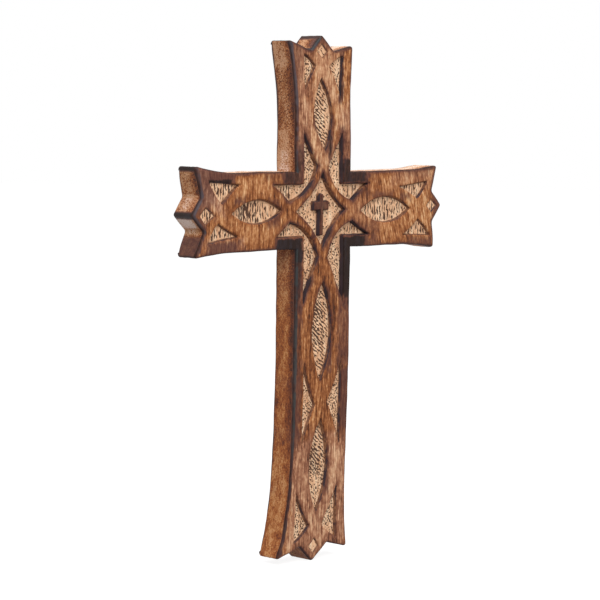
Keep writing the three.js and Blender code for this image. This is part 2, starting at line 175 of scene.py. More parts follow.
# The stage: each lamp's name, place and size in metres, and power in watts
LAMPS = (
    ("key", (-1.1, -1.3, 1.3), 0.9, 26), ("top", (0.2, -0.1, 1.6), 0.8, 17),
    ("fill", (1.3, -1.4, 0.3), 1.2, 7),
)
LAMP_AIM = (0, 0, -0.05)
GROUND_RADII = (1, 200, 1000, 6000)
GROUND_SIDES = 64
GROUND_GREY = 0.26
GROUND_GLOW = 0.86


def tint(code):
    """The linear colour of an sRGB hex code."""
    part = np.array([int(code[i:i + 2], 16) for i in (1, 3, 5)]) / 255
    linear = np.where(part <= 0.04045, part / 12.92, ((part + 0.055) / 1.055) ** 2.4)
    return tuple(float(c) for c in linear)


def colour_property(name, code, description):
    """A colour that a user may change, with its default as an sRGB hex code."""
    return bpy.props.FloatVectorProperty(
        name=name, description=description, subtype="COLOR", size=3, min=0, max=1,
        default=tint(code),
    )


class WoodSettings(bpy.types.PropertyGroup):
    step: bpy.props.FloatProperty(
        name="Grid step", description="Spacing of the surface's points, in millimetres",
        default=0.52, min=0.3, max=3,
    )
    rim: bpy.props.FloatProperty(
        name="Rim radius", description="How soft the recesses' rims are, in millimetres",
        default=0.55, min=0.1, max=1,
    )
    wall_lean: bpy.props.FloatProperty(
        name="Wall lean", description="How far a recess's wall leans in, in millimetres",
        default=0.55, min=0.3, max=2,
    )
    arris: bpy.props.FloatProperty(
        name="Arris radius", description="Mean radius of the worn arrises, in millimetres",
        default=1.2, min=0.4, max=2.5,
    )
    wander: bpy.props.FloatProperty(
        name="Hand's wander", description="How far the sawn outline strays, in millimetres",
        default=0.28, min=0, max=1,
    )


class FinishSettings(bpy.types.PropertyGroup):
    scorch: colour_property("Scorch", "#23140f", "The burnt margins at their darkest")
    singed: colour_property("Singed", "#54302a", "Where the flame only browned the wood")
    # Near black of the heaviest burns, tinted bluish as a painted sheen for light reflected off
    # the char
    soot_and_sheen: colour_property("Soot and sheen", "#2a2022", "The bluish sheen on the heaviest burns")
    bare: colour_property("Bare wood", "#eabb94", "The recess floors' middle tone")
    stroke: colour_property("Gouge marks", "#43291f", "The gouge marks on the floors")
    brass: colour_property("Brass", "#b8954a", "The hanging ring and its staple")


class StageSettings(bpy.types.PropertyGroup):
    azimuth: bpy.props.FloatProperty(
        name="Azimuth", description="Camera's angle round the cross", subtype="ANGLE",
        default=math.radians(-44.91),
    )
    elevation: bpy.props.FloatProperty(
        name="Elevation", description="Camera's angle above the horizon", subtype="ANGLE",
        default=math.radians(4.85),
    )
    roll: bpy.props.FloatProperty(
        name="Roll", description="Camera's turn about its own line of sight", subtype="ANGLE",
        default=math.radians(0.71),
    )
    distance: bpy.props.FloatProperty(
        name="Distance", description="Camera to the point it looks at", unit="LENGTH",
        default=1.35,
    )
    aim: bpy.props.FloatVectorProperty(
        name="Aim", description="The point on the front that the camera looks at",
        subtype="TRANSLATION", default=(-0.01714, -0.0174, -0.05143),
    )
    lens: bpy.props.FloatProperty(
        name="Lens", description="Focal length, in millimetres on a 36 mm frame", default=140.63,
    )
    sky: bpy.props.FloatProperty(
        name="Sky", description="Strength of the white surroundings' light", default=0.62,
    )


def wood():
    """The wood's settings as they stand."""
    return bpy.context.scene.cross_wood


def finish():
    """The finishes' settings as they stand."""
    return bpy.context.scene.cross_finish


# Noise and outlines

def field_noise(u, v, size, seed):
    """Random values on a square lattice of the given size, joined by smooth steps: -1 to 1."""
    table = np.random.default_rng(seed).uniform(-1, 1, (256, 256))
    a, b = u / size, v / size
    i, j = np.floor(a).astype(int), np.floor(b).astype(int)
    s, t = a - i, b - j
    s, t = s * s * (3 - 2 * s), t * t * (3 - 2 * t)
    i, j, k, m = i % 256, j % 256, (i + 1) % 256, (j + 1) % 256
    low = table[i, j] * (1 - s) + table[k, j] * s
    high = table[i, m] * (1 - s) + table[k, m] * s
    return low * (1 - t) + high * t


def smooth(low, high, value):
    """0 below low, 1 above high, and a smooth step between them."""
    t = np.clip((value - low) / (high - low), 0, 1)
    return t * t * (3 - 2 * t)


def bowed(corners, steps=24):
    """A closed outline through corners (x, z, bow), anticlockwise. The edge from a corner to the
    next is a parabola, point(t) = start + t * edge + 4 t (1 - t) * bow * outward normal."""
    ring = np.array(corners, float)
    after = np.roll(ring, -1, axis=0)
    if (ring[:, 0] * after[:, 1] - after[:, 0] * ring[:, 1]).sum() < 0:
        ring[:, 2] = np.roll(ring[:, 2], 1)
        ring = ring[::-1]
        after = np.roll(ring, -1, axis=0)
    edge = after[:, :2] - ring[:, :2]
    outward = np.stack([edge[:, 1], -edge[:, 0]], -1) / np.linalg.norm(edge, axis=1)[:, None]
    t = (np.arange(steps) / steps)[None, :, None]
    swell = 4 * t * (1 - t) * ring[:, 2][:, None, None]
    return (ring[:, None, :2] + t * edge[:, None] + swell * outward[:, None]).reshape(-1, 2)


def bend(z):
    """How far the post's middle line lies to the right at a height: it is sawn with a slight
    bend, and falls back to the left with the cube of the distance from one height."""
    return BEND_FURTHEST - BEND_FALL * (np.abs(z - BEND_HEIGHT) / 100) ** 3


# From a station along a bar and an offset to its left to x and z on a straight post, and back
PLACES = {
    "right": lambda along, across: (along, across),
    "left": lambda along, across: (-along, -across),
    "top": lambda along, across: (-across, along),
    "bottom": lambda along, across: (across, -along),
}
STATIONS = {
    "right": lambda x, z: (x, z),
    "left": lambda x, z: (-x, -z),
    "top": lambda x, z: (z, -x),
    "bottom": lambda x, z: (-z, x),
}


def placed(place, corners):
    """A bar's drawing as (x, z, bow), with what lies on the post moved by its bend."""
    spots = [(*PLACES[place](along, across), bow) for along, across, bow in corners]
    if place in ("top", "bottom"):
        spots = [(x + bend(z), z, bow) for x, z, bow in spots]
    return spots


def leaf(place, start, start_offset, end_back, end_offset, half):
    """A leaf along a bar: two tips, and two bowed edges that swell by the half width."""
    end = BARS[place].reach - end_back
    return bowed(placed(place, [(start, start_offset, half), (end, end_offset, half)]), 48)


def end_dart(place, side, dart):
    """A dart on a bar's left, or with side -1 on its right."""
    bar = BARS[place]
    share = 1 - (dart.corner_back - bar.left.corner_back) / bar.flare_length
    wide = bar.half + bar.flare_rise * share ** 2
    return bowed(placed(place, [
        (bar.reach - dart.tip_back, side * (bar.half - dart.tip_margin), 0),
        (bar.reach - dart.corner_back, side * (wide - dart.corner_margin), DART_CORNER_BOW),
        (bar.reach - dart.apex_back, side * dart.apex_offset, -DART_SIDE_BOW),
    ]))


def kite(place, start, wide, end, half):
    """The small kite at a bar's tip: its start, its widest place and its end."""
    bar = BARS[place]
    middle = bar.tip_offset
    return bowed(placed(place, [
        (bar.reach - start, middle, 0), (bar.reach - wide, middle + half, 0),
        (bar.reach - end, middle, 0), (bar.reach - wide, middle - half, 0),
    ]))


def mid_dart(side, station, half_length, margin):
    """A dart along the foot's edge, between the two lower leaves."""
    edge = side * (POST_HALF - margin)
    return bowed(placed("bottom", [
        (station - half_length, edge, 0), (station + half_length, edge, -MID_DART_BOW),
        (station, side * MID_DART_APEX, -MID_DART_BOW),
    ]))


def bracket(b):
    """The angled recess in one corner of the crossing."""
    edge_x = b.sign_x * (POST_HALF - b.post_margin)
    edge_z = b.sign_z * (ARM_HALF - BRACKET["arm_margin"])
    post = [
        (edge_x, edge_z, 0), (edge_x, b.sign_z * b.post_tip, -BRACKET["side_bow"]),
        (b.sign_x * b.apex_offset, b.sign_z * b.post_apex, BRACKET["bow"]),
    ]
    return bowed([
        *[(x + bend(z), z, bow) for x, z, bow in post],
        (b.sign_x * BRACKET["arm_apex"], b.sign_z * b.arm_apex_offset, -BRACKET["side_bow"]),
        (b.sign_x * b.arm_tip, edge_z, 0),
    ])


def relief_cross():
    """The small cross that stands in the diamond."""
    stem, bar = RELIEF["stem"] / 2, RELIEF["bar"] / 2
    low = RELIEF["centre"] - RELIEF["thick"] / 2
    high = RELIEF["centre"] + RELIEF["thick"] / 2
    side = [
        (stem, -RELIEF["bottom"], 0), (stem, low, 0), (bar, low, 0),
        (bar, high, 0), (stem, high, 0), (stem, RELIEF["top"], 0),
    ]
    return bowed(side + [(-x, z, bow) for x, z, bow in reversed(side)], 8)


def carving():
    """Every recess's outline and depth. The diamond comes first."""
    crossing = [bowed([(x, z, -DIAMOND_BOW) for x, z in DIAMOND]), *map(bracket, BRACKETS)]
    darts = [mid_dart(*spec) for spec in MID_DARTS]
    kites = []
    for place, (left, right, middle) in ENDS.items():
        darts += [end_dart(place, 1, left), end_dart(place, -1, right)]
        kites.append(kite(place, *middle))
    return [
        *[(ring, CROSSING_DEPTH) for ring in crossing],
        *[(leaf(*spec), LEAF_DEPTH) for spec in LEAVES],
        *[(ring, DART_DEPTH) for ring in darts], *[(ring, KITE_DEPTH) for ring in kites],
    ]


def outline_distance(points, ring):
    """Each point's distance to a closed outline, negative inside, and the unit direction in which
    it grows. The distance to an edge is that to its nearest point, with its share held in 0..1."""
    edge = np.roll(ring, -1, axis=0) - ring
    share = ((points[:, None] - ring) * edge).sum(-1) / (edge ** 2).sum(-1)
    away = points[:, None] - ring - np.clip(share, 0, 1)[..., None] * edge
    gap = np.hypot(away[..., 0], away[..., 1])
    nearest = gap.argmin(axis=1)
    row = np.arange(len(points))
    gap, away = gap[row, nearest], away[row, nearest]
    x, z = points[:, :1], points[:, 1:]
    after = ring + edge
    straddles = (ring[:, 1] > z) != (after[:, 1] > z)
    rise = np.where(edge[:, 1] == 0, 1, edge[:, 1])
    crosses = straddles & (x < ring[:, 0] + edge[:, 0] * (z - ring[:, 1]) / rise)
    sign = np.where(crosses.sum(axis=1) % 2 == 1, -1.0, 1.0)
    return gap * sign, away / np.maximum(gap, 1e-9)[:, None] * sign[:, None]


def distance_in_parts(points, ring, size=2000):
    """Runs outline_distance on a few points at a time, to keep its tables small."""
    starts = range(0, len(points), size)
    runs = [outline_distance(points[i:i + size], ring) for i in starts]
    return np.concatenate([r[0] for r in runs]), np.concatenate([r[1] for r in runs])


# The cross's surface, as one grid of points that every wooden piece is a part of

def half_width(bar, along, across):
    """half + rise * share squared, where share goes from 0 to 1 along the flare of that side."""
    wide = []
    for side in (bar.left, bar.right):
        corner = bar.reach - side.corner_back
        share = np.clip(1 - (corner - along) / bar.flare_length, 0, 1)
        wide.append(bar.half + (bar.flare_rise + side.more) * share ** 2)
    return np.where(across > 0, wide[0], wide[1])


def end_line(bar, across):
    """The notched end: straight from corner to notch to tip, eased by a running mean."""
    left, right = bar.left, bar.right
    stations = [
        -bar.half - bar.flare_rise - right.more, -right.notch_offset, bar.tip_offset,
        left.notch_offset, bar.half + bar.flare_rise + left.more,
    ]
    backs = [right.corner_back, right.notch_back, 0, left.notch_back, left.corner_back]
    shifts = np.linspace(-EASE, EASE, 9)
    eased = [np.interp(across + shift, stations, backs) for shift in shifts]
    return bar.reach - np.mean(eased, axis=0)


def stretch_bar(bar, along, across):
    """Moves one bar's grid to its flare and its notched end."""
    start = bar.reach - END_LENGTH
    wide = bar.half + bar.flare_rise + np.where(across > 0, bar.left.more, bar.right.more)
    end = end_line(bar, across / bar.half * wide)
    share = np.clip((along - start) / (bar.reach - start), 0, None)
    moved = np.where(along > start, start + share * (end - start), along)
    return moved, across / bar.half * half_width(bar, moved, across)


def round_corner(x, z, corner, back, onward, reach=2.7):
    """Draws the grid in round a sharp corner: a point at distance d moves along the corner's
    bisector by k (1 - d / reach) squared, with k such that the outline turns smoothly."""
    arms = [np.subtract(spot, corner) for spot in (back, onward)]
    arms = [arm / np.linalg.norm(arm) for arm in arms]
    middle = (arms[0] + arms[1]) / np.linalg.norm(arms[0] + arms[1])
    k = reach * float(arms[0] @ middle) / 2
    d = np.hypot(x - corner[0], z - corner[1])
    pull = k * np.clip(1 - d / reach, 0, None) ** 2
    return x + pull * middle[0], z + pull * middle[1]


def bar_corners(place, bar):
    """Each corner point of a bar's end, with a point back along its flare and its notch."""
    for sign, side in ((1, bar.left), (-1, bar.right)):
        rise = bar.flare_rise + side.more
        corner = bar.reach - side.corner_back
        yield [spot[:2] for spot in placed(place, [
            (corner, sign * (bar.half + rise), 0),
            (corner - 1, sign * (bar.half + rise - 2 * rise / bar.flare_length), 0),
            (bar.reach - side.notch_back, sign * side.notch_offset, 0),
        ])]


def bar_lines(place, step):
    """Grid lines along a bar, from just past the crossing to its end, closer at the end."""
    end = BARS[place].reach - np.array(EDGE_ROWS)[::-1]
    count = round((end[0] - BEGINS[place]) / step)
    lines = np.concatenate([np.linspace(BEGINS[place], end[0], count + 1)[1:-1], end])
    if place in ("right", "left"):
        lines[np.abs(lines - SEAM).argmin()] = SEAM
    return lines


def cross_lines(half, step):
    """Grid lines across a bar, closer at both edges."""
    edge = half - np.array(EDGE_ROWS)
    count = round(2 * edge[-1] / step)
    return np.concatenate([-edge, np.linspace(-edge[-1], edge[-1], count + 1)[1:-1], edge[::-1]])


# Corners of the ends that are worn round, as (x, z)
WORN_CORNERS = ((-29, -201), (-27, 98), (-98, 25), (-98, -26), (98, -25))


class Surface:
    """The whole front, as arrays over the grid: x, z and what is painted or cut at each point."""

    def __init__(self):
        step = wood().step
        lines = {place: bar_lines(place, step) for place in BARS}
        xs = np.concatenate([
            -lines["left"][::-1], cross_lines(POST_HALF, step), lines["right"],
        ])
        zs = np.concatenate([
            -lines["bottom"][::-1], cross_lines(ARM_HALF, step), lines["top"],
        ])
        grid_x, grid_z = np.meshgrid(xs, zs)
        self.inside = (np.abs(grid_x) <= POST_HALF + 1e-6) | (np.abs(grid_z) <= ARM_HALF + 1e-6)
        self.column = {
            "end": len(xs) - 1, "seam_left": int(np.abs(xs + SEAM).argmin()),
            "seam_right": int(np.abs(xs - SEAM).argmin()),
            "post_left": int(np.abs(xs + POST_HALF).argmin()),
            "post_right": int(np.abs(xs - POST_HALF).argmin()),
        }
        self.row = {
            "end": len(zs) - 1, "arm_low": int(np.abs(zs + ARM_HALF).argmin()),
            "arm_high": int(np.abs(zs - ARM_HALF).argmin()),
        }
        self.nominal_x = grid_x
        self.x, self.z = self.shape(grid_x, grid_z)
        self.edges()
        self.carve()
        self.burn()

    def shape(self, grid_x, grid_z):
        """Draws the bars out to their flares and ends, bends the post, rounds the ends' corners,
        and strays by a smooth noise, as a saw held by hand does, but not at the glue seams."""
        x, z = grid_x.copy(), grid_z.copy()
        for place, bar in BARS.items():
            along, across = STATIONS[place](grid_x, grid_z)
            there = (along > BEGINS[place]) & self.inside
            moved = stretch_bar(bar, along[there], across[there])
            x[there], z[there] = PLACES[place](*moved)
        x += bend(z) * (1 - smooth(POST_HALF, SEAM - 2, np.abs(grid_x)))
        for place, bar in BARS.items():
            for corner in bar_corners(place, bar):
                x, z = round_corner(x, z, *corner)
        stray = wood().wander
        near_seam = smooth(0, 4, np.abs(np.abs(grid_x) - SEAM))
        stray_x = stray * (field_noise(x, z, 17, 1) + 0.5 * field_noise(x, z, 7, 2))
        stray_z = stray * (field_noise(x, z, 17, 3) + 0.5 * field_noise(x, z, 7, 4))
        return x + stray_x * near_seam, z + stray_z

    def walk(self, corners):
        """Grid indices along a closed path of straight runs between corners."""
        spots = np.array(corners)
        after = np.roll(spots, -1, axis=0)
        runs = [
            np.linspace(a, b, np.abs(b - a).sum(), endpoint=False) for a, b in zip(spots, after)
        ]
        path = np.rint(np.concatenate(runs)).astype(int)
        return path[:, 0], path[:, 1]

    def cross_corners(self, first, last):
        """The corners of the cross's outline, as grid indices, between two columns."""
        left, right = self.column["post_left"], self.column["post_right"]
        low, high, top = self.row["arm_low"], self.row["arm_high"], self.row["end"]
        return [
            (0, left), (0, right), (low, right), (low, last), (high, last), (high, right),
            (top, right), (top, left), (high, left), (high, first), (low, first), (low, left),
        ]

    def edges(self):
        """The outline's normals, how far each point near the outline lies from it, how far the
        outline there faces left, and the worn arris's radius."""
        loop = self.walk(self.cross_corners(0, self.column["end"]))
        ring = np.stack([self.x[loop], self.z[loop]], -1)
        along = np.roll(ring, -2, axis=0) - np.roll(ring, 2, axis=0)
        along /= np.linalg.norm(along, axis=1)[:, None]
        self.normal = np.zeros(self.x.shape + (2,))
        self.normal[loop] = np.stack([along[:, 1], -along[:, 0]], -1)
        rim = np.zeros(self.x.shape, bool)
        rim[loop] = True
        near = rim.copy()
        # Grown by a point each time, until it holds the close rows and the widest arris
        for _ in range(len(EDGE_ROWS) + 2):
            near[1:] |= near[:-1]
            near[:-1] |= near[1:]
            near[:, 1:] |= near[:, :-1]
            near[:, :-1] |= near[:, 1:]
        near &= self.inside & ~rim
        points = np.stack([self.x[near], self.z[near]], -1)
        gap, outward = distance_in_parts(points, ring)
        self.from_edge = np.full(self.x.shape, FURTHEST)
        self.from_edge[near] = -gap
        self.from_edge[rim] = 0
        self.leftward = np.zeros(self.x.shape)
        self.leftward[near] = smooth(0.2, 0.8, -outward[:, 0])
        self.leftward[rim] = smooth(0.2, 0.8, -self.normal[..., 0][rim])
        wear = 0.22 * field_noise(self.x, self.z, 23, 11)
        wear += 0.12 * field_noise(self.x, self.z, 5, 12)
        wear += self.leftward * (0.05 + 0.35 * smooth(-150, -125, self.z))
        for x, z in WORN_CORNERS:
            wear += 1.3 * np.exp(-((self.x - x) ** 2 + (self.z - z) ** 2) / 30)
        self.arris = wood().arris * (1 + wear)

    def carve(self):
        """Brings grid points onto each recess's rim and floor line, and sets level: 0 on the
        front, 1 on a floor. The rim strays from its line by a smooth noise, as a knife does."""
        lean = wood().wall_lean
        half_step = wood().step / 2
        self.gap = np.full(self.x.shape, FAR)
        sunk = np.zeros(self.x.shape)
        toward = np.zeros(self.x.shape + (2,))
        relief = relief_cross()
        for number, (ring, depth) in enumerate(carving()):
            low, high = ring.min(axis=0) - ROUND_RECESS, ring.max(axis=0) + ROUND_RECESS
            here = self.inside & (self.x > low[0]) & (self.x < high[0])
            here &= (self.z > low[1]) & (self.z < high[1])
            points = np.stack([self.x[here], self.z[here]], -1)
            gap, growth = outline_distance(points, ring)
            if number == 0:
                # The small cross stands in the first recess, the diamond
                from_relief, relief_growth = outline_distance(points, relief)
                standing = -from_relief > gap
                gap = np.where(standing, -from_relief, gap)
                growth = np.where(standing[:, None], -relief_growth, growth)
            closer = gap < self.gap[here]
            self.gap[here] = np.where(closer, gap, self.gap[here])
            sunk[here] = np.where(closer, depth, sunk[here])
            toward[here] = np.where(closer[:, None], growth, toward[here])
        knife = field_noise(self.x, self.z, 5, 21) + 0.6 * field_noise(self.x, self.z, 1.9, 22)
        self.gap += KNIFE_STRAY * knife
        middle = -lean / 2
        target = np.where(self.gap > middle, 0, -lean)
        low, high = -lean - half_step, half_step * 0.9
        near = (self.gap > low) & (self.gap < high)
        move = np.where(near, target - self.gap, 0)
        self.x += move * toward[..., 0]
        self.z += move * toward[..., 1]
        self.gap = np.where(near, target, self.gap)
        self.level = np.where(self.gap > middle, 0.0, 1.0)
        self.sunk = sunk
        self.depth = self.level * sunk + self.unevenness()

    def unevenness(self):
        """How much lower the surface lies than its nominal plane: the arris, a quarter round
        R - sqrt(R^2 - (R - d)^2), the planed front's slight waves, and the gouge's scoops."""
        x, z = self.x, self.z
        near = np.clip(self.arris - self.from_edge, 0, None)
        round_off = self.arris - np.sqrt(np.clip(self.arris ** 2 - near ** 2, 0, None))
        waves = 0.07 * field_noise(x, z, 11, 31) + 0.03 * field_noise(x * 3, z, 4, 32)
        # Rims are sharper and scoops shallower in the small kites
        cut = np.clip(self.sunk / DART_DEPTH, 0, 1)
        soft = wood().rim * cut + 1e-6
        rim = np.clip(soft - self.gap, 0, soft)
        waves = waves + soft - np.sqrt(soft ** 2 - rim ** 2)
        deep = smooth(0.3, 1.6, -self.gap)
        # Scoops are longer than wide, upright at the crossing and aslant on the post
        slant = np.where(np.abs(z) > ARM_HALF + 4, 0.45, 0.0)
        scoop = field_noise((x + slant * z) * 2.4, z, 2.6, 33)
        scoop = (0.34 * scoop + 0.3 * field_noise(x, z, 5, 34)) * cut
        return round_off + np.where(self.level > 0, deep * scoop, waves)

    def burn(self):
        """What the finishes read on the front: how scorched it is, how pale or dark its stain
        is, how mauve, where and how grey the painted highlight on its arris is, and how its
        floors are marked."""
        x, z = self.x, self.z
        crossing = smooth(60, 48, np.abs(z)) * smooth(44, 34, np.abs(x))
        beside = np.clip(self.gap, 0, None)
        # A halo of burn round each recess, wider and darker at the crossing
        reach = 0.75 + 1.2 * crossing + 0.45 * field_noise(x, z, 6, 45)
        halo = (0.42 + 0.36 * crossing) * np.exp(-beside / reach)
        halo *= 0.75 + 0.7 * field_noise(x, z, 7, 41)
        # A burnt line along the outline, wider at the head's top and the right arm's end
        width = 1.0 + 0.5 * smooth(-150, -120, z) + 0.9 * smooth(88, 97, z)
        width += 0.6 * smooth(86, 94, x) + 0.35 * field_noise(x, z, 8, 42)
        edge = 0.9 * np.exp(-(self.from_edge / width) ** 2)
        self.scorch = np.maximum.reduce([painted(x, z, SCORCHED), halo, edge]).clip(0, 1)
        # The stain, darker beside the recesses and along the outline
        self.tone = painted(x, z, PALE) - painted(x, z, DARK)
        self.tone -= (0.55 + 0.3 * crossing) * np.exp(-beside / 2.4)
        self.tone -= 0.6 * np.exp(-(self.from_edge / 3) ** 2)
        self.mauve = painted(x, z, MAUVE)
        # Painted highlight: a grey line on the burnt arris that comes and goes, for light
        # reflected where the outline faces left
        self.arris_highlight = np.exp(-((self.from_edge / self.arris - 0.45) / 0.4) ** 2)
        highlight_strength = 0.8 + 0.45 * field_noise(x, z, 9, 47) + 0.35 * field_noise(x, z, 2.6, 49)
        highlight_strength -= 0.35 * smooth(-80, -92, x)
        self.arris_highlight *= self.leftward * np.clip(highlight_strength, 0, 1)
        self.grey = 0.3 * smooth(-150, -125, z) + 0.7 * painted(x, z, PALEST_HIGHLIGHT)
        self.grey += 0.15 * field_noise(x, z, 7, 48)
        # How many marks the floors have, and which kind: -1 on the arms, 1 in the post's leaves
        self.char = 0.35 + painted(x, z, CHARRED) - painted(x, z, CLEAN)
        upright = (np.abs(x) > 24) & (np.abs(z) < ARM_HALF)
        slanted = (np.abs(x - 2) < 9) & (np.abs(z + 5) > 30)
        slanted = slanted * (1 - 0.7 * smooth(-142, -150, z))
        self.slant = np.where(upright, -1.0, slanted)


def patch(x, z, x0, x1, z0, z1, strength, soft, soft_z=None):
    """A soft-edged rectangle of the given strength, with its border stirred by noise."""
    soft_z = soft_z or soft
    stir = field_noise(x, z, 4, 43) * 0.4 + field_noise(x, z, 1.7, 44) * 0.25
    stir += field_noise(x * 2, z * 0.5, 2, 46) * 0.25
    inside = np.minimum.reduce([
        (x - x0) / soft, (x1 - x) / soft, (z - z0) / soft_z, (z1 - z) / soft_z,
    ])
    return strength * smooth(-1.1, 0.9, inside + stir)


def painted(x, z, patches):
    """The strongest of the patches at each point."""
    return np.maximum.reduce([patch(x, z, *place) for place in patches])


# Patches of the front: from and to in x, from and to in z, strength, softness in millimetres, and
# its softness in z where that differs.
# Where the flame burnt it
SCORCHED = (
    (-37, -15.5, -30, -15.6, 1.0, 3.0, 1.5), (15.5, 38, -30, -15.6, 1.0, 5.0, 1.5),
    (-33, -14.5, 15.2, 30, 0.84, 6.0, 2.5), (15, 38, 15.6, 30, 0.9, 5.0, 1.5),
    (-30, -15.8, -60, -15, 0.84, 2.0, 12.0), (15.4, 30, -57, -15, 1.0, 1.5, 10.0),
    (-30, -15, 18, 40, 0.74, 2.5, 12.0), (14.6, 17.6, 18, 46, 0.8, 1.2, 5.0),
    (17, 30, 18, 38, 0.35, 3.0, 12.0), (-8, 8, -16, 10, 0.72, 2.0),
    (36, 48, -30, -15.4, 0.45, 6.0), (37, 47, 16, 30, 0.36, 5.0), (-46, -34, 17, 30, 0.36, 6.0),
    (-90, -69, 16.4, 32, 0.62, 2.0, 1.5), (-90, -71, 16.2, 19.0, 0.95, 2.5, 1.0),
    (-104, -84, 3, 30, 0.4, 5.0), (-91, -66, -32, -15.8, 0.62, 5.0, 2.5),
    (-101, -91, -15, -1, 0.66, 3.0), (-102, -92, -3, 8, 0.44, 3.0),
    (70, 95, 17.4, 32, 0.3, 4.0), (73, 97, -32, -17, 0.44, 5.0),
    (95, 106, -8, 9, 0.55, 3.0), (93, 106, -30, -12, 0.4, 3.0), (88, 93, 4, 15, 0.3, 3.0),
    (-70, -61, 4, 9, 0.6, 3.0), (-44, -34, -9, -2, 0.45, 3.0), (-43, -34, 3, 8, 0.4, 3.0),
    (36, 60, 6, 10, 0.42, 3.0), (66, 76, 4, 9, 0.45, 3.0), (24, 48, -15, -7, 0.3, 4.0),
    (-30, -15, -136, -90, 0.52, 3.0, 8.0), (14.2, 17.4, -131, -93, 1.0, 1.0, 3.0),
    (16, 30, -129, -93, 0.66, 3.0, 5.0), (-30, -15.5, -92, -60, 0.34, 4.0, 8.0),
    (14, 30, -97, -56, 0.4, 3.0, 8.0), (-30, -16.5, 74, 99, 0.34, 5.0),
    (-14, 14, 94, 106, 0.4, 4.0), (12.6, 16.5, 62, 92, 0.8, 1.2, 4.0),
    (6.2, 9.5, -94, -58, 0.7, 1.5, 6.0),
    (5, 8, 28, 48, 0.85, 1.5, 6.0), (4.6, 8, -166, -140, 0.6, 1.5, 6.0),
    (-28, 28, -214, -201, 0.3, 5.0),
)
# Where the stain is rubbed thin
PALE = (
    (4, 20, 46, 90, 0.8, 6.0), (-9, 11, 66, 93, 0.55, 6.0), (-9, 9, 23, 46, 0.8, 4.0),
    (-19, -8, 30, 74, 0.2, 5.0), (-68, -38, 9, 21, 0.15, 6.0), (-91, -70, -11, 9, 0.4, 6.0),
    (-66, -38, -22, -8, 0.4, 6.0), (70, 98, -13, 11, 0.6, 8.0), (87, 98, 4, 26, 0.7, 5.0),
    (46, 72, 9, 19, 0.45, 6.0), (8, 24, -168, -132, 0.85, 4.0), (-24, 24, -215, -136, 0.35, 6.0),
)
# Where it is darkest without a burn
DARK = (
    (-24, 24, -134, -48, 0.35, 8.0), (-48, -33, -14, 14, 0.25, 6.0), (30, 56, 5, 14, 0.35, 6.0),
    (24, 48, -16, -4, 0.35, 6.0),
)
# Where it has turned a mauve brown
MAUVE = (
    (-26, -9, 26, 99, 0.5, 8.0), (-104, -80, 2, 30, 0.8, 6.0), (-92, -64, -30, -15, 0.5, 5.0),
    (-26, 26, -215, -132, 0.55, 8.0), (13, 26, 20, 60, 0.5, 6.0), (22, 48, -14, 8, 0.25, 8.0),
    (60, 96, 14, 26, 0.35, 6.0), (-9, 14, 60, 96, 0.4, 6.0), (14, 26, -100, -50, 0.25, 4.0),
    (-9, 9, 23, 46, 0.35, 4.0),
)
# Where the painted highlight on the arris is palest
PALEST_HIGHLIGHT = ((-30, -12, 32, 110, 1.0, 9.0), (-110, -90, -30, 30, 0.8, 5.0))
# Where the floors have the most marks, and the fewest
CHARRED = (
    (-64, -56, -7, 7, 0.75, 2.0), (-57, -50, -7, 7, 0.35, 2.0), (-8, 6, -82, -54, 0.6, 4.0),
    (-7, 2, 40, 70, 0.35, 4.0), (-8, 3, -154, -138, 0.7, 3.0), (-8, 8, -170, -150, 0.15, 3.0),
    (-64, -60, -7, 3, 0.9, 1.0),
)
CLEAN = (
    (-48.5, -30, -8, 8, 0.3, 0.8), (5, 9, 44, 70, 0.4, 2.0), (5, 10, -90, -50, 0.4, 2.0),
    (-80, -66, -8, 8, 0.3, 3.0), (84, 100, -8, 8, 0.3, 2.0), (-21, 21, -22, 22, 0.35, 3.0),
)


# Meshes

def make_mesh(name, vertices, faces, materials, marks=None, face_material=None):
    """A mesh object of the given points, in millimetres, and lists of vertex numbers."""
    mesh = bpy.data.meshes.new(name)
    mesh.from_pydata((vertices * MM).tolist(), [], faces)
    for material in materials:
        mesh.materials.append(material)
    if face_material is not None:
        mesh.polygons.foreach_set("material_index", np.asarray(face_material, np.int32))
    for key, values in (marks or {}).items():
        layer = mesh.attributes.new(key, "FLOAT", "POINT")
        layer.data.foreach_set("value", np.asarray(values, np.float32))
    made = bpy.data.objects.new(name, mesh)
    bpy.context.scene.collection.objects.link(made)
    return made


def point_outwards(made, sharp_angle):
    """Makes a closed mesh's faces point outwards and shades it smooth up to an angle."""
    work = bmesh.new()
    work.from_mesh(made.data)
    bmesh.ops.recalc_face_normals(work, faces=work.faces)
    work.to_mesh(made.data)
    work.free()
    made.data.shade_smooth()
    made.data.set_sharp_from_angle(angle=math.radians(sharp_angle))


def bands(rings):
    """Triangles between each closed ring of vertex numbers and the next."""
    quads = np.concatenate([
        np.stack([p, np.roll(p, -1), np.roll(q, -1), q], -1) for p, q in zip(rings, rings[1:])
    ])
    return np.concatenate([quads[:, [0, 1, 2]], quads[:, [0, 2, 3]]])


def filled(outlines):
    """Triangles that fill a flat outline, seen along y, less the outlines after it, which lie
    inside it. They are places in the joined list of all the outlines' points. The points are
    given as (x, z, 0), because given as (x, z) part of a long outline is left open. A known
    fault remains: a sliver at the lower edge of the right arm block's back stays open, and so
    do a few edges at the left one's upper outer corner."""
    flat = [(outline[:, [0, 2, 1]] * [1, 1, 0]).tolist() for outline in outlines]
    return np.array(tessellate_polygon(flat))


def split_cells(a, b, c, d, level):
    """Two triangles for each cell, with the diagonal that joins corners of one level."""
    straight = (level[a] == level[c])[:, None]
    one = np.where(straight, np.stack([a, b, c], -1), np.stack([a, b, d], -1))
    two = np.where(straight, np.stack([a, c, d], -1), np.stack([b, c, d], -1))
    return np.concatenate([one, two])


FRONT, FLOOR, WALL, SIDE, BACK = range(5)


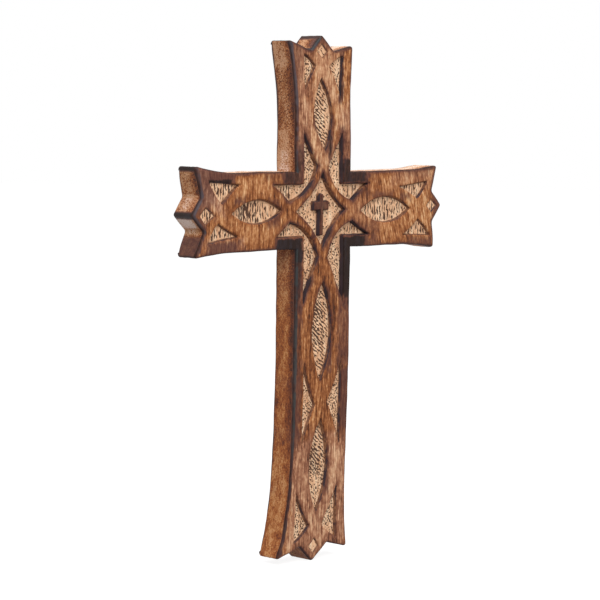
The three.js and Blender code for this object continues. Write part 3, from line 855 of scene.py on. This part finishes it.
def side_rows(surface, loop, top):
    """The outline carried down to the wall, row by row. Each lies at outline - inset * normal
    and y = top + s (-arris - top) + arris sin t, with inset = arris (1 - cos t): s goes from 0
    to 1 down the side, and then t to a right angle round the back arris. Saw marks are added to
    the side, and a glue seam stays flat."""
    at = np.stack([surface.x[loop], surface.z[loop]], -1)
    normal = surface.normal[loop]
    seam = np.abs(np.abs(surface.nominal_x[loop]) - SEAM) < 1e-6
    seam &= np.abs(surface.z[loop]) < ARM_HALF - 0.05
    arris = surface.arris[loop] * BACK_ARRIS
    down = [(s, 0.0) for s in np.linspace(0, 1, SIDE_ROWS + 1)[1:]]
    down += [(1.0, t) for t in np.linspace(0, np.pi / 2, BACK_ARRIS_ROWS + 1)[1:]]
    rows = []
    for s, t in down:
        inset = arris * (1 - np.cos(t))
        y = top + s * (-arris - top) + arris * np.sin(t)
        saw = 0.09 * field_noise(at[:, 0] + at[:, 1], y, 1.3, 51)
        saw += 0.12 * field_noise(at[:, 0] - at[:, 1], y * 0.4, 6, 52)
        saw *= math.sin(math.pi * min(s, 0.999)) ** 0.3 * (t == 0)
        place = at + normal * np.where(seam, 0, saw - inset)[:, None]
        held = np.sign(at[:, 1]) * np.minimum(np.abs(at[:, 1]), ARM_HALF - inset)
        place[:, 1] = np.where(seam, held, place[:, 1])
        rows.append(np.stack([place[:, 0], y, place[:, 1]], -1))
    return rows


def wooden_piece(name, surface, corners, columns, node_name, pocket=False):
    """One block of the cross: its part of the front's grid, the sides below its outline, and a
    flat back, with the hanger's pocket in it if asked."""
    used = surface.inside.copy()
    used[:, :columns[0]] = False
    used[:, columns[1] + 1:] = False
    number = np.full(used.shape, -1)
    number[used] = np.arange(used.sum())
    level = surface.level[used]
    front = np.stack([surface.x[used], surface.depth[used] - THICKNESS, surface.z[used]], -1)
    cell = used[:-1, :-1] & used[1:, :-1] & used[:-1, 1:] & used[1:, 1:]
    a, b = number[:-1, :-1][cell], number[:-1, 1:][cell]
    c, d = number[1:, 1:][cell], number[1:, :-1][cell]
    faces = split_cells(a, b, c, d, level)
    floors = level[faces].sum(axis=1)
    kinds = np.where(floors == 0, FRONT, np.where(floors == 3, FLOOR, WALL))

    loop = surface.walk(corners)
    ring = number[loop]
    rows = side_rows(surface, loop, front[ring, 1])
    first = len(front) + len(ring) * np.arange(len(rows) + 1)
    rings = [ring] + [start + np.arange(len(ring)) for start in first[:-1]]
    sides = bands(rings)

    vertices = [front, *rows]
    back_loops = [rings[-1]]
    hollow_faces = np.zeros((0, 3), int)
    if pocket:
        hollow, hollow_faces, rim = pocket_surface(first[-1])
        vertices.append(hollow)
        back_loops.append(rim)
    vertices = np.concatenate(vertices)
    back = np.concatenate(back_loops)[filled([vertices[line] for line in back_loops])]

    every = np.concatenate([faces, sides, back, hollow_faces])
    behind = np.full(len(back) + len(hollow_faces), BACK)
    kinds = np.concatenate([kinds, np.full(len(sides), SIDE), behind])
    marks = wood_marks(surface, used, loop, rows, len(vertices))
    made = make_mesh(name, vertices, every.tolist(), wood_materials(), marks, kinds)
    point_outwards(made, WOOD_SHARP)
    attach(made, "cross")
    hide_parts(node_name)
    return made


def wood_marks(surface, used, loop, rows, vertex_count):
    """The values that the finishes read at each vertex: those of the front, then those of the
    sides row by row, then nothing for the back and its pocket."""
    x, z = surface.x[loop], surface.z[loop]
    upward = surface.normal[loop][:, 1]
    # Painted light: paler where the head meets the arm, as a painted highlight, and on what
    # faces up, as if lit from above, but for the peak and the corner beside it, which are burnt
    peak = (z > 94) & (x < 9) & (upward > 0.3)
    tone = painted(x, z, PALE_SIDES) - painted(x, z, DARK_SIDES)
    tone += 0.6 * smooth(50, 23, z) * ((z > 21) & (np.abs(x + 24) < 6))
    tone = np.maximum(tone, smooth(0.45, 0.9, upward) * np.where(peak, -0.1, 1.1))
    burnt = painted(x, z, SCORCHED_SIDES)
    burnt = np.where((z > 88) & (x < -9) & (upward > 0.3), 1.0, burnt)
    # How far the burns of both arrises reach, and how far the side darkens towards the front
    front_reach = 1.0 + 0.5 * smooth(-145, -130, z) + 0.6 * smooth(50, 70, z) + 2.0 * peak
    back_reach = 1.0 + 0.75 * smooth(26, 44, z) + 0.5 * field_noise(x, z, 9, 62)
    shade = 0.5 + 0.8 * smooth(-145, -120, z)
    scorch, tones = [], []
    for row in rows:
        y = row[:, 1]
        edge = np.exp(-((y + THICKNESS) / front_reach) ** 2)
        edge += 0.95 * smooth(-1.8 * back_reach, -0.6 * back_reach, y)
        cloud = smooth(0.1, 0.8, field_noise(x * 0.6 + z, y * 0.8, 16, 61)) * 0.25
        scorch.append(np.maximum.reduce([edge, cloud * (upward < 0.5), burnt]))
        tones.append(tone - 0.35 * smooth(-6, -1, y) - shade * smooth(-9, -16, y))
    sides = {
        "scorch": np.concatenate(scorch), "tone": np.concatenate(tones),
        "mauve": np.tile(painted(x, z, MAUVE_SIDES), len(rows)),
    }
    count = len(rows) * len(x)
    spare = np.zeros(vertex_count - used.sum() - count)
    marks = {}
    for key in ("scorch", "tone", "mauve", "arris_highlight", "grey", "level", "char", "slant"):
        front = getattr(surface, key)[used]
        marks[key] = np.concatenate([front, sides.get(key, np.zeros(count)), spare])
    inward = np.clip(-surface.gap[used], 0, FURTHEST)
    marks["inward"] = np.concatenate([inward, np.zeros(count), spare])
    return marks


# Patches of the sawn edges, as on the front
SCORCHED_SIDES = (
    (-100, -84, -30, -12.5, 0.66, 2.0), (-30, -18, -60, -22, 0.25, 5.0),
    (-106, -92, 23.4, 30, 1.0, 1.0), (-108, -97, -3, 0.6, 1.0, 1.0),
    (-30, -16, 97, 106, 1.0, 0.8), (-12, 12, 98.4, 108, 0.9, 1.0),
    (-100, -84, -30, -22, 0.95, 3.0),
)
PALE_SIDES = (
    (-30, -19, 80, 97, 0.75, 4.0), (-30, -19, 24, 48, 0.7, 6.0),
    (-106, -86, 9.2, 10.4, 1.1, 0.8), (-106, -86, 1.5, 9, 1.0, 1.2),
    (-106, -86, -8.5, -2.5, 2.0, 1.0), (-106, -86, -12.5, -8, 1.0, 1.0),
    (-106, -86, 12, 23, 0.2, 2.0), (-30, -19, -215, -150, 0.3, 9.0),
)
DARK_SIDES = (
    (-30, -19, 50, 78, 1.5, 6.0), (-30, -19, -80, -56, 0.4, 8.0), (-30, -19, -50, -20, 0.6, 6.0),
)
MAUVE_SIDES = (
    (-106, -86, -9, 9, 0.5, 2.0), (-30, -19, 18, 46, 0.3, 8.0), (-30, -19, 78, 97, 0.2, 6.0),
)


def pocket_surface(first):
    """The routed pocket: a slot with round ends, its outline carried down to a flat floor, with
    its rim and its floor's corner eased. Its vertices' numbers begin at first."""
    turn = np.linspace(0, np.pi, 25)
    straight = POCKET_LENGTH / 2 - POCKET_WIDTH / 2
    upper = np.stack([np.cos(turn), np.sin(turn)], -1)
    outline = np.concatenate([upper, -upper])
    shift = np.repeat([[0, straight], [0, -straight]], len(turn), axis=0)
    growth = (0.25, 0.07, 0.0, 0.0, -0.2)
    depths = (0.0, 0.07, 0.25, POCKET_DEPTH - 0.2, POCKET_DEPTH)
    rings = []
    for grow, depth in zip(growth, depths):
        place = outline * (POCKET_WIDTH / 2 + grow) + shift + [0, HANGER_HEIGHT]
        rings.append(np.stack([place[:, 0], np.full(len(place), -depth), place[:, 1]], -1))
    count = len(outline)
    numbers = [first + i * count + np.arange(count) for i in range(len(rings))]
    bottom = numbers[-1][filled(rings[-1:])]
    return np.concatenate(rings), np.concatenate([bands(numbers), bottom]), numbers[0]


def tube(path, along, flat, radius, sides):
    """The points of a round wire: path + radius (cos t * flat + sin t * other), where along is
    the path's direction, flat is square to it, and other is square to both."""
    turn = np.linspace(0, 2 * np.pi, sides, endpoint=False)[:, None]
    flat = flat / np.linalg.norm(flat, axis=1)[:, None]
    other = np.cross(along, flat)
    other /= np.linalg.norm(other, axis=1)[:, None]
    circle = radius * (np.cos(turn) * flat[:, None] + np.sin(turn) * other[:, None])
    return (path[:, None] + circle).reshape(-1, 3)


def grid_faces(rows, columns, wrap_rows):
    """Quads of a grid that closes on itself across its columns, and if asked its rows."""
    number = np.arange(rows * columns).reshape(rows, columns)
    after = np.roll(number, -1, axis=0)
    if not wrap_rows:
        number, after = number[:-1], after[:-1]
    return np.stack([
        number, np.roll(number, -1, axis=1), np.roll(after, -1, axis=1), after,
    ], -1).reshape(-1, 4)


# Finishes

def node(tree, kind, inputs=None, **settings):
    """Adds a shader node. An input is a value, or the socket that feeds it."""
    made = tree.nodes.new(kind)
    for key, value in settings.items():
        setattr(made, key, value)
    for key, value in (inputs or {}).items():
        if isinstance(value, bpy.types.NodeSocket):
            tree.links.new(value, made.inputs[key])
        else:
            made.inputs[key].default_value = value
    return made


def noise(tree, size, detail=3.0, rough=0.55, turn=0.0):
    """Noise whose features have the given size, in millimetres along x, y and z."""
    place = node(tree, "ShaderNodeTexCoord").outputs["Object"]
    if turn:
        place = node(tree, "ShaderNodeMapping", {
            "Vector": place, "Rotation": (0, turn, 0),
        }).outputs["Vector"]
    scale = tuple(1 / (s * MM) for s in size)
    mapped = node(tree, "ShaderNodeMapping", {"Vector": place, "Scale": scale})
    made = node(tree, "ShaderNodeTexNoise", {
        "Vector": mapped.outputs["Vector"], "Scale": 1.0, "Detail": detail, "Roughness": rough,
    })
    return made.outputs["Fac"]


def maths(tree, operation, first, second=0.0):
    """The result of one sum."""
    return node(tree, "ShaderNodeMath", {0: first, 1: second}, operation=operation).outputs[0]


def blend(tree, share, first, second):
    """Mixes two numbers."""
    return node(tree, "ShaderNodeMix", {0: share, 2: first, 3: second}).outputs[0]


def ramp(tree, value, low, high, to_low=0.0, to_high=1.0):
    """Maps low..high smoothly to to_low..to_high, and holds the ends."""
    return node(tree, "ShaderNodeMapRange", {
        "Value": value, "From Min": low, "From Max": high, "To Min": to_low, "To Max": to_high,
    }, interpolation_type="SMOOTHSTEP").outputs["Result"]


def mix(tree, share, first, second, way="MIX"):
    """Mixes two colours."""
    def colour(value):
        return value if isinstance(value, bpy.types.NodeSocket) else (*value, 1.0)
    colours = {0: share, 6: colour(first), 7: colour(second)}
    return node(tree, "ShaderNodeMix", colours, data_type="RGBA", blend_type=way).outputs[2]


def mark(tree, name):
    """A value that the mesh holds at its vertices."""
    return node(tree, "ShaderNodeAttribute", attribute_name=name).outputs["Fac"]


def material(name, look):
    """A material whose node tree is filled by look(tree, shader)."""
    made = bpy.data.materials.get(name)
    if made:
        return made
    made = bpy.data.materials.new(name)
    made.use_nodes = True
    look(made.node_tree, made.node_tree.nodes["Principled BSDF"])
    return made


def paint(tree, shader, colour, roughness, height, lift=0.0002, specular=0.5):
    """Sets a finish: its colour, its gloss, and bumps as high as lift, in metres."""
    tree.links.new(colour, shader.inputs["Base Color"])
    shader.inputs["Specular IOR Level"].default_value = specular
    if isinstance(roughness, bpy.types.NodeSocket):
        tree.links.new(roughness, shader.inputs["Roughness"])
    else:
        shader.inputs["Roughness"].default_value = roughness
    bump = node(tree, "ShaderNodeBump", {"Height": height, "Distance": lift, "Strength": 1.0})
    tree.links.new(bump.outputs["Normal"], shader.inputs["Normal"])


def gradient(tree, value, stops):
    """The colour at a value, between stops that are (value, hex code or linear colour)."""
    made = node(tree, "ShaderNodeValToRGB", {"Fac": value})
    elements = made.color_ramp.elements
    while len(elements) < len(stops):
        elements.new(0.5)
    for element, (place, colour) in zip(elements, stops):
        element.position = place
        element.color = (*(tint(colour) if isinstance(colour, str) else colour), 1.0)
    return made.outputs["Color"]


def coordinate(tree, axis):
    """How far a point lies along X, Y or Z, in metres."""
    place = node(tree, "ShaderNodeTexCoord").outputs["Object"]
    return node(tree, "ShaderNodeSeparateXYZ", {"Vector": place}).outputs[axis]


def total(tree, *terms):
    """The sum of shares of sockets, given as (socket, share) or a plain number."""
    result = 0.0
    for term in terms:
        if isinstance(term, tuple):
            term = maths(tree, "MULTIPLY", *term)
        result = maths(tree, "ADD", term, result)
    return result


def stained_tone(tree, turn=0.0):
    """Straight grain: fine streaks and wider bands, about 0.5, with dark pores taken off."""
    fine = noise(tree, (1.0, 40, 7.5), 3, 0.62, turn)
    band = noise(tree, (3.6, 60, 34), 4, 0.6, turn)
    cloud = noise(tree, (9, 40, 14), 4, 0.6)
    mottle = noise(tree, (1.7, 20, 2.4), 3, 0.6)
    pores = ramp(tree, noise(tree, (0.6, 20, 3.0), 2, 0.6, turn), 0.58, 0.72)
    tone = total(
        tree, (fine, 1.3), (band, 0.65), (cloud, 0.6), (mottle, 0.55), (pores, -0.12), -1.03)
    return tone, total(tree, (fine, 0.5), (pores, -1.0))


# The stain's colours from its darkest to its palest tone, where it is brown, where it has turned
# mauve, and on the sawn edges. Then those of the painted highlight on the arris.
BROWNS = (
    (0.1, "#442415"), (0.32, "#774222"), (0.5, "#9c6037"), (0.66, "#c08556"), (0.9, "#e6b889"),
)
MAUVES = (
    (0.1, "#3f2823"), (0.32, "#754d3e"), (0.5, "#996d5a"), (0.66, "#b98d74"), (0.9, "#dfb99b"),
)
SIDE_BROWNS = (
    (0.05, "#351a10"), (0.3, "#6e381d"), (0.5, "#9d6036"), (0.66, "#bf8d64"), (0.82, "#d6b59c"),
    (1.0, "#ecdacc"),
)
HIGHLIGHT_GREYS = ((0.0, "#3f2a2c"), (0.3, "#394041"), (0.65, "#46434a"), (1.0, "#5c5358"))


def scorched(tree, colour, amount, stir=0.5):
    """Lays a burn over a colour: a purplish brown, then near black with a painted bluish sheen."""
    ragged = noise(tree, (1.4, 2.5, 4.5), 4, 0.65)
    share = total(tree, amount, (maths(tree, "SUBTRACT", ragged, 0.5), stir))
    redder = ramp(tree, noise(tree, (1.0, 3, 7), 3), 0.4, 0.62)
    singed = mix(tree, redder, finish().singed, tint("#6d4537"))
    colour = mix(tree, ramp(tree, share, 0.12, 0.6, 0, 0.9), colour, singed)
    # Painted sheen: in patches the black takes a bluish tint that stands for light reflected off
    # the char
    sheen = ramp(tree, noise(tree, (2.5, 5, 9), 3), 0.5, 0.68)
    black = mix(tree, sheen, finish().scorch, finish().soot_and_sheen)
    return mix(tree, ramp(tree, share, 0.58, 1.0), colour, black)


def front_look(tree, shader):
    """Stained and burnt wood. The grain of the right arm leans by 15 degrees."""
    tone, height = stained_tone(tree)
    leaning, _ = stained_tone(tree, math.radians(15))
    right = ramp(tree, coordinate(tree, "X"), 0.042, 0.05)
    tone = total(tree, blend(tree, right, tone, leaning), (mark(tree, "tone"), 0.2))
    brown, mauve = gradient(tree, tone, BROWNS), gradient(tree, tone, MAUVES)
    colour = mix(tree, mark(tree, "mauve"), brown, mauve)
    colour = scorched(tree, colour, mark(tree, "scorch"))
    # Painted highlight: a grey line on the left-facing arris, standing for reflected light
    arris_highlight = ramp(tree, mark(tree, "arris_highlight"), 0.1, 0.75, 0, 0.8)
    colour = mix(tree, arris_highlight, colour, gradient(tree, mark(tree, "grey"), HIGHLIGHT_GREYS))
    paint(tree, shader, colour, 0.6, height, specular=0.13)


def strokes(tree, spacing, length, turn):
    """A gouge's strokes side by side, about 0.5: a sine across them, broken up by noise."""
    place = node(tree, "ShaderNodeTexCoord").outputs["Object"]
    turned = node(tree, "ShaderNodeMapping", {"Vector": place, "Rotation": (0, turn, 0)})
    across = node(tree, "ShaderNodeSeparateXYZ", {"Vector": turned.outputs["Vector"]})
    stray = noise(tree, (3.5, 20, 6), 2, 0.5, turn)
    phase = total(tree, (across.outputs["X"], 2 * math.pi / (spacing * MM)), (stray, 10.0))
    wave = maths(tree, "SINE", phase)
    return total(tree, (wave, 0.11), noise(tree, (spacing * 0.5, 5, length), 1, 0.5, turn))


def floor_look(tree, shader):
    """Bare wood with the gouge's marks: upright on the arms, slanted in the post's leaves, and
    dots elsewhere, which the mark slant tells apart as -1, 1 and 0."""
    streak = noise(tree, (1.6, 30, 9), 3)
    pale = gradient(tree, streak, ((0.3, "#d39f78"), (0.5, finish().bare), (0.7, "#f8d6b2")))
    slant = mark(tree, "slant")
    upright = strokes(tree, 2.1, 3.4, 0)
    slanted = strokes(tree, 1.8, 2.1, math.radians(50))
    dots = noise(tree, (1.0, 5, 1.25), 1, 0.5, math.radians(20))
    marks = blend(tree, maths(tree, "MAXIMUM", slant, 0.0), dots, slanted)
    on_arms = maths(tree, "MAXIMUM", maths(tree, "MULTIPLY", slant, -1.0), 0.0)
    marks = blend(tree, on_arms, marks, upright)
    where = noise(tree, (5, 30, 7), 2)
    near_wall = ramp(tree, mark(tree, "inward"), 0.5, 1.7, -0.07, 0.0)
    reach = total(tree, marks, (where, 0.22), (mark(tree, "char"), 0.13), near_wall)
    dark = ramp(tree, reach, 0.67, 0.77)
    colour = mix(tree, maths(tree, "MULTIPLY", dark, 0.95), pale, finish().stroke)
    rim = ramp(tree, mark(tree, "inward"), 0.5, 1.1, 0.35, 0.0)
    colour = mix(tree, rim, colour, tint("#8a5a3c"))
    height = total(tree, (streak, 0.4), (dark, -1.0))
    paint(tree, shader, colour, 0.78, height, 0.0004, specular=0.2)


def wall_look(tree, shader):
    """The leaning walls: brown, with burnt lengths that are darkest at the rim."""
    stir = noise(tree, (1.5, 1.5, 2.5), 3)
    length = noise(tree, (5, 5, 8), 3)
    down = total(tree, mark(tree, "level"), (stir, 0.5), -0.25)
    burnt = total(tree, (mark(tree, "scorch"), 0.8), (length, 1.4), (down, -0.35), -0.55)
    brown = mix(tree, ramp(tree, stir, 0.35, 0.65), tint("#5f3a29"), tint("#8d6245"))
    colour = mix(tree, ramp(tree, burnt, 0.2, 0.62), brown, tint("#33242a"))
    # Painted sheen: the heaviest burns on the walls take the bluish black that stands for
    # reflected light
    colour = mix(tree, ramp(tree, burnt, 0.6, 0.9, 0, 0.8), colour, finish().soot_and_sheen)
    paint(tree, shader, colour, 0.7, stir, specular=0.3)


def side_look(tree, shader):
    """Sawn edges: finely stippled above, more fibrous and redder below, and burnt at both
    arrises. The palest colours come only where the mark tone asks for them."""
    height = coordinate(tree, "Z")
    stipple = noise(tree, (0.8, 0.8, 0.9), 3, 0.7)
    fibre = noise(tree, (1.5, 1.3, 3.4), 4, 0.68, math.radians(12))
    cloud = noise(tree, (6, 5, 10), 3)
    specks = ramp(tree, noise(tree, (0.75, 0.75, 0.85), 1), 0.54, 0.66)
    specks = maths(tree, "MULTIPLY", specks, ramp(tree, height, -0.1, 0.03, 0.7, 1.5))
    fine = blend(tree, ramp(tree, height, -0.09, -0.02, 0.35, 1.0), fibre, stipple)
    terms = (fine, 1.4), (cloud, 0.75), (mark(tree, "tone"), 0.3), (specks, -0.25), -0.53
    tone = total(tree, *terms)
    # The palest stops need a high tone, as the painted light and the pale patches give
    limit = ramp(tree, mark(tree, "tone"), 0.8, 1.2, 0.7, 1.0)
    colour = gradient(tree, maths(tree, "MINIMUM", tone, limit), SIDE_BROWNS)
    warm = mix(tree, 1.0, colour, (1.0, 0.86, 0.64), "MULTIPLY")
    colour = mix(tree, ramp(tree, height, -0.06, 0.0, 1.0, 0.0), colour, warm)
    rosy = mix(tree, 1.0, colour, (1.0, 0.88, 0.9), "MULTIPLY")
    colour = mix(tree, mark(tree, "mauve"), colour, rosy)
    colour = scorched(tree, colour, mark(tree, "scorch"), 0.35)
    paint(tree, shader, colour, 0.6, stipple, specular=0.25)


def back_look(tree, shader):
    """Stained wood with a band saw's level marks."""
    tone, height = stained_tone(tree)
    saw = noise(tree, (40, 20, 0.9), 2)
    colour = gradient(tree, total(tree, (tone, 0.8), (saw, 0.25)), BROWNS)
    paint(tree, shader, colour, 0.7, total(tree, height, saw))


def wood_materials():
    """In the order of FRONT, FLOOR, WALL, SIDE and BACK."""
    return [
        material("stained_front", front_look), material("bare_floor", floor_look),
        material("scorched_wall", wall_look), material("sawn_side", side_look),
        material("plain_back", back_look),
    ]


def brass_look(tree, shader):
    """Dull brass, duller in clouds."""
    tarnish = noise(tree, (1.5, 1.5, 1.5), 4)
    colour = mix(tree, ramp(tree, tarnish, 0.45, 0.7, 0, 0.6), finish().brass, tint("#6d5228"))
    shader.inputs["Metallic"].default_value = 1.0
    paint(tree, shader, colour, ramp(tree, tarnish, 0.3, 0.7, 0.28, 0.5), tarnish, 0.00005)


def beech_look(tree, shader):
    """Plain beech, its grain along the dowel."""
    fine = noise(tree, (14, 0.8, 0.8), 3)
    colour = mix(tree, ramp(tree, fine, 0.35, 0.65), tint("#c79d69"), tint("#e2c191"))
    paint(tree, shader, colour, 0.75, fine)


def shown(tree):
    """1 for what the camera sees, straight or in gloss or through glass, and 0 for light."""
    ray = node(tree, "ShaderNodeLightPath").outputs
    seen = maths(tree, "MAXIMUM", ray["Is Camera Ray"], ray["Is Glossy Ray"])
    return maths(tree, "MAXIMUM", seen, ray["Is Transmission Ray"])


def stage_look(tree, shader):
    """A pale ground that the camera sees as white but for the cross's soft shadow."""
    shader.inputs["Base Color"].default_value = (*[GROUND_GREY] * 3, 1)
    shader.inputs["Roughness"].default_value = 1.0
    shader.inputs["Specular IOR Level"].default_value = 0.0
    shader.inputs["Emission Color"].default_value = (1, 1, 1, 1)
    glow = maths(tree, "MULTIPLY", shown(tree), GROUND_GLOW)
    tree.links.new(glow, shader.inputs["Emission Strength"])


# Operators: one for each piece or group of like pieces, and one for the stage

class CROSS_OT_timber(bpy.types.Operator):
    """Makes the centre board and the two arm blocks that are glued to it"""
    bl_idname = "cross.timber"
    bl_label = "Timber"

    def execute(self, context):
        surface = Surface()
        left, right = surface.column["seam_left"], surface.column["seam_right"]
        low, high = surface.row["arm_low"], surface.row["arm_high"]
        corners = surface.cross_corners(left, right)
        wooden_piece("centre_board", surface, corners, (left, right), "post", pocket=True)
        for name, first, last, node_name in (
            ("left_arm_block", 0, left, "arm_left"),
            ("right_arm_block", right, surface.column["end"], "arm_right"),
        ):
            corners = [(low, first), (low, last), (high, last), (high, first)]
            wooden_piece(name, surface, corners, (first, last), node_name)
        return {"FINISHED"}


class CROSS_OT_dowels(bpy.types.Operator):
    """Finishes the four beech dowels inside the glue seams"""
    bl_idname = "cross.dowels"
    bl_label = "Dowels"

    def execute(self, context):
        beech = material("plain_beech", beech_look)
        for name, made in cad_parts.items():
            if name.startswith("dowel"):
                made.data.materials.clear()
                made.data.materials.append(beech)
        return {"FINISHED"}


class CROSS_OT_hanger(bpy.types.Operator):
    """Makes the wire ring and the driven staple that it hangs in"""
    bl_idname = "cross.hanger"
    bl_label = "Hanger"

    def execute(self, context):
        brass = material("dull_brass", brass_look)
        hinge_y = RING_IN_POCKET - POCKET_DEPTH
        turn = np.linspace(0, 2 * np.pi, RING_STEPS, endpoint=False)
        zero = np.zeros(RING_STEPS)
        centre = np.array([0, hinge_y, HANGER_HEIGHT - RING_RADIUS])
        spoke = np.stack([np.cos(turn), zero, np.sin(turn)], -1)
        along = np.stack([-np.sin(turn), zero, np.cos(turn)], -1)
        points = tube(centre + RING_RADIUS * spoke, along, spoke, RING_WIRE, RING_SIDES)
        faces = grid_faces(RING_STEPS, RING_SIDES, True).tolist()
        ring = make_mesh("wire_ring", points, faces, [brass])
        point_outwards(ring, WIRE_SHARP)
        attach(ring, "ring")
        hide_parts("hanger_ring")

        # The staple is a half circle that clears the ring's wire, and two straight legs
        bow = RING_WIRE + HINGE_CLEARANCE + STAPLE_WIRE
        leg = RING_IN_POCKET + STAPLE_LEG
        length = 2 * leg + math.pi * bow
        s = np.linspace(0, length, STAPLE_STEPS) - length / 2
        angle = np.clip(s / bow, -np.pi / 2, np.pi / 2)
        down = np.maximum(np.abs(s) - bow * np.pi / 2, 0)
        path = np.stack([
            np.zeros(len(s)), hinge_y + bow * np.cos(angle) - down,
            HANGER_HEIGHT + bow * np.sin(angle),
        ], -1)
        along = np.gradient(path, axis=0)
        along /= np.linalg.norm(along, axis=1)[:, None]
        points = tube(path, along, np.cross(along, [1.0, 0, 0]), STAPLE_WIRE, STAPLE_SIDES)
        cap = np.arange(STAPLE_SIDES)
        faces = grid_faces(STAPLE_STEPS, STAPLE_SIDES, False).tolist()
        faces += [cap[::-1].tolist(), (cap + (STAPLE_STEPS - 1) * STAPLE_SIDES).tolist()]
        staple = make_mesh("wire_staple", points, faces, [brass])
        point_outwards(staple, WIRE_SHARP)
        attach(staple, "cross")
        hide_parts("hanger_staple")
        return {"FINISHED"}


class CROSS_OT_stage(bpy.types.Operator):
    """Makes the ground, the lamps, the surroundings and the camera"""
    bl_idname = "cross.stage"
    bl_label = "Stage"

    def execute(self, context):
        scene = context.scene
        scene.view_settings.view_transform = "Standard"
        setting = scene.cross_stage
        self.ground()
        self.surroundings(scene, setting.sky)
        for lamp in LAMPS:
            self.lamp(*lamp)
        scene.camera = self.camera(setting)
        return {"FINISHED"}

    def ground(self):
        """A disc: rings of points at growing radii, level with the cross's foot."""
        turn = np.linspace(0, 2 * np.pi, GROUND_SIDES, endpoint=False)
        circle = np.stack([np.cos(turn), np.sin(turn), np.zeros(GROUND_SIDES)], -1)
        low = POST_BOX[0][2] / MM
        points = np.concatenate([circle * r + [0, 0, low] for r in GROUND_RADII])
        faces = grid_faces(len(GROUND_RADII), GROUND_SIDES, False).tolist()
        made = make_mesh("ground", points, faces, [material("pale_ground", stage_look)])

    def surroundings(self, scene, strength):
        """A white room: full white to the camera and in gloss, and dimmer as a light."""
        world = bpy.data.worlds.new("white_room")
        scene.world = world
        world.use_nodes = True
        tree = world.node_tree
        level = maths(tree, "ADD", strength, maths(tree, "MULTIPLY", shown(tree), 1 - strength))
        tree.links.new(level, tree.nodes["Background"].inputs["Strength"])
        tree.nodes["Background"].inputs["Color"].default_value = (1, 1, 1, 1)

    def lamp(self, name, place, size, power):
        """A soft square lamp that faces the cross."""
        light = bpy.data.lights.new(name, "AREA")
        light.size = size
        light.energy = power
        made = bpy.data.objects.new(name, light)
        made.location = place
        toward = Vector(LAMP_AIM) - Vector(place)
        made.rotation_euler = toward.to_track_quat("-Z", "Y").to_euler()
        bpy.context.scene.collection.objects.link(made)

    def camera(self, setting):
        """Looks at the aim from the azimuth and elevation, then rolls about its line of sight."""
        a, e = setting.azimuth, setting.elevation
        back = Vector((math.sin(a) * math.cos(e), -math.cos(a) * math.cos(e), math.sin(e)))
        right = Vector((math.cos(a), math.sin(a), 0))
        up = back.cross(right)
        turned_right = right * math.cos(setting.roll) + up * math.sin(setting.roll)
        turned_up = up * math.cos(setting.roll) - right * math.sin(setting.roll)
        lens = bpy.data.cameras.new("camera")
        lens.lens = setting.lens
        lens.sensor_width = 36
        made = bpy.data.objects.new("camera", lens)
        basis = Matrix((turned_right, turned_up, back)).transposed()
        made.matrix_world = Matrix.Translation(
            Vector(setting.aim) + back * setting.distance) @ basis.to_4x4()
        bpy.context.scene.collection.objects.link(made)
        return made


class CROSS_PT_panel(bpy.types.Panel):
    bl_label = "Wall Cross"
    bl_idname = "CROSS_PT_panel"
    bl_space_type = "VIEW_3D"
    bl_region_type = "UI"
    bl_category = "Wall Cross"

    def draw(self, context):
        for name in GROUPS:
            group = getattr(context.scene, name)
            box = self.layout.box()
            for key in group.__annotations__:
                box.prop(group, key)
        for operator in OPERATORS:
            self.layout.operator(operator.bl_idname)


GROUPS = {"cross_wood": WoodSettings, "cross_finish": FinishSettings, "cross_stage": StageSettings}
OPERATORS = (CROSS_OT_stage, CROSS_OT_timber, CROSS_OT_dowels, CROSS_OT_hanger)


def register():
    """Adds the settings, the operators and the panel."""
    for made in (*GROUPS.values(), *OPERATORS, CROSS_PT_panel):
        bpy.utils.register_class(made)
    for key, group in GROUPS.items():
        setattr(bpy.types.Scene, key, bpy.props.PointerProperty(type=group))


def unregister():
    """Takes them away again."""
    for key in GROUPS:
        delattr(bpy.types.Scene, key)
    for made in (CROSS_PT_panel, *OPERATORS, *GROUPS.values()):
        bpy.utils.unregister_class(made)


def main():
    """Makes everything."""
    register()
    bpy.ops.cross.stage()
    bpy.ops.cross.timber()
    bpy.ops.cross.dowels()
    bpy.ops.cross.hanger()


if __name__ == "__main__":
    main()
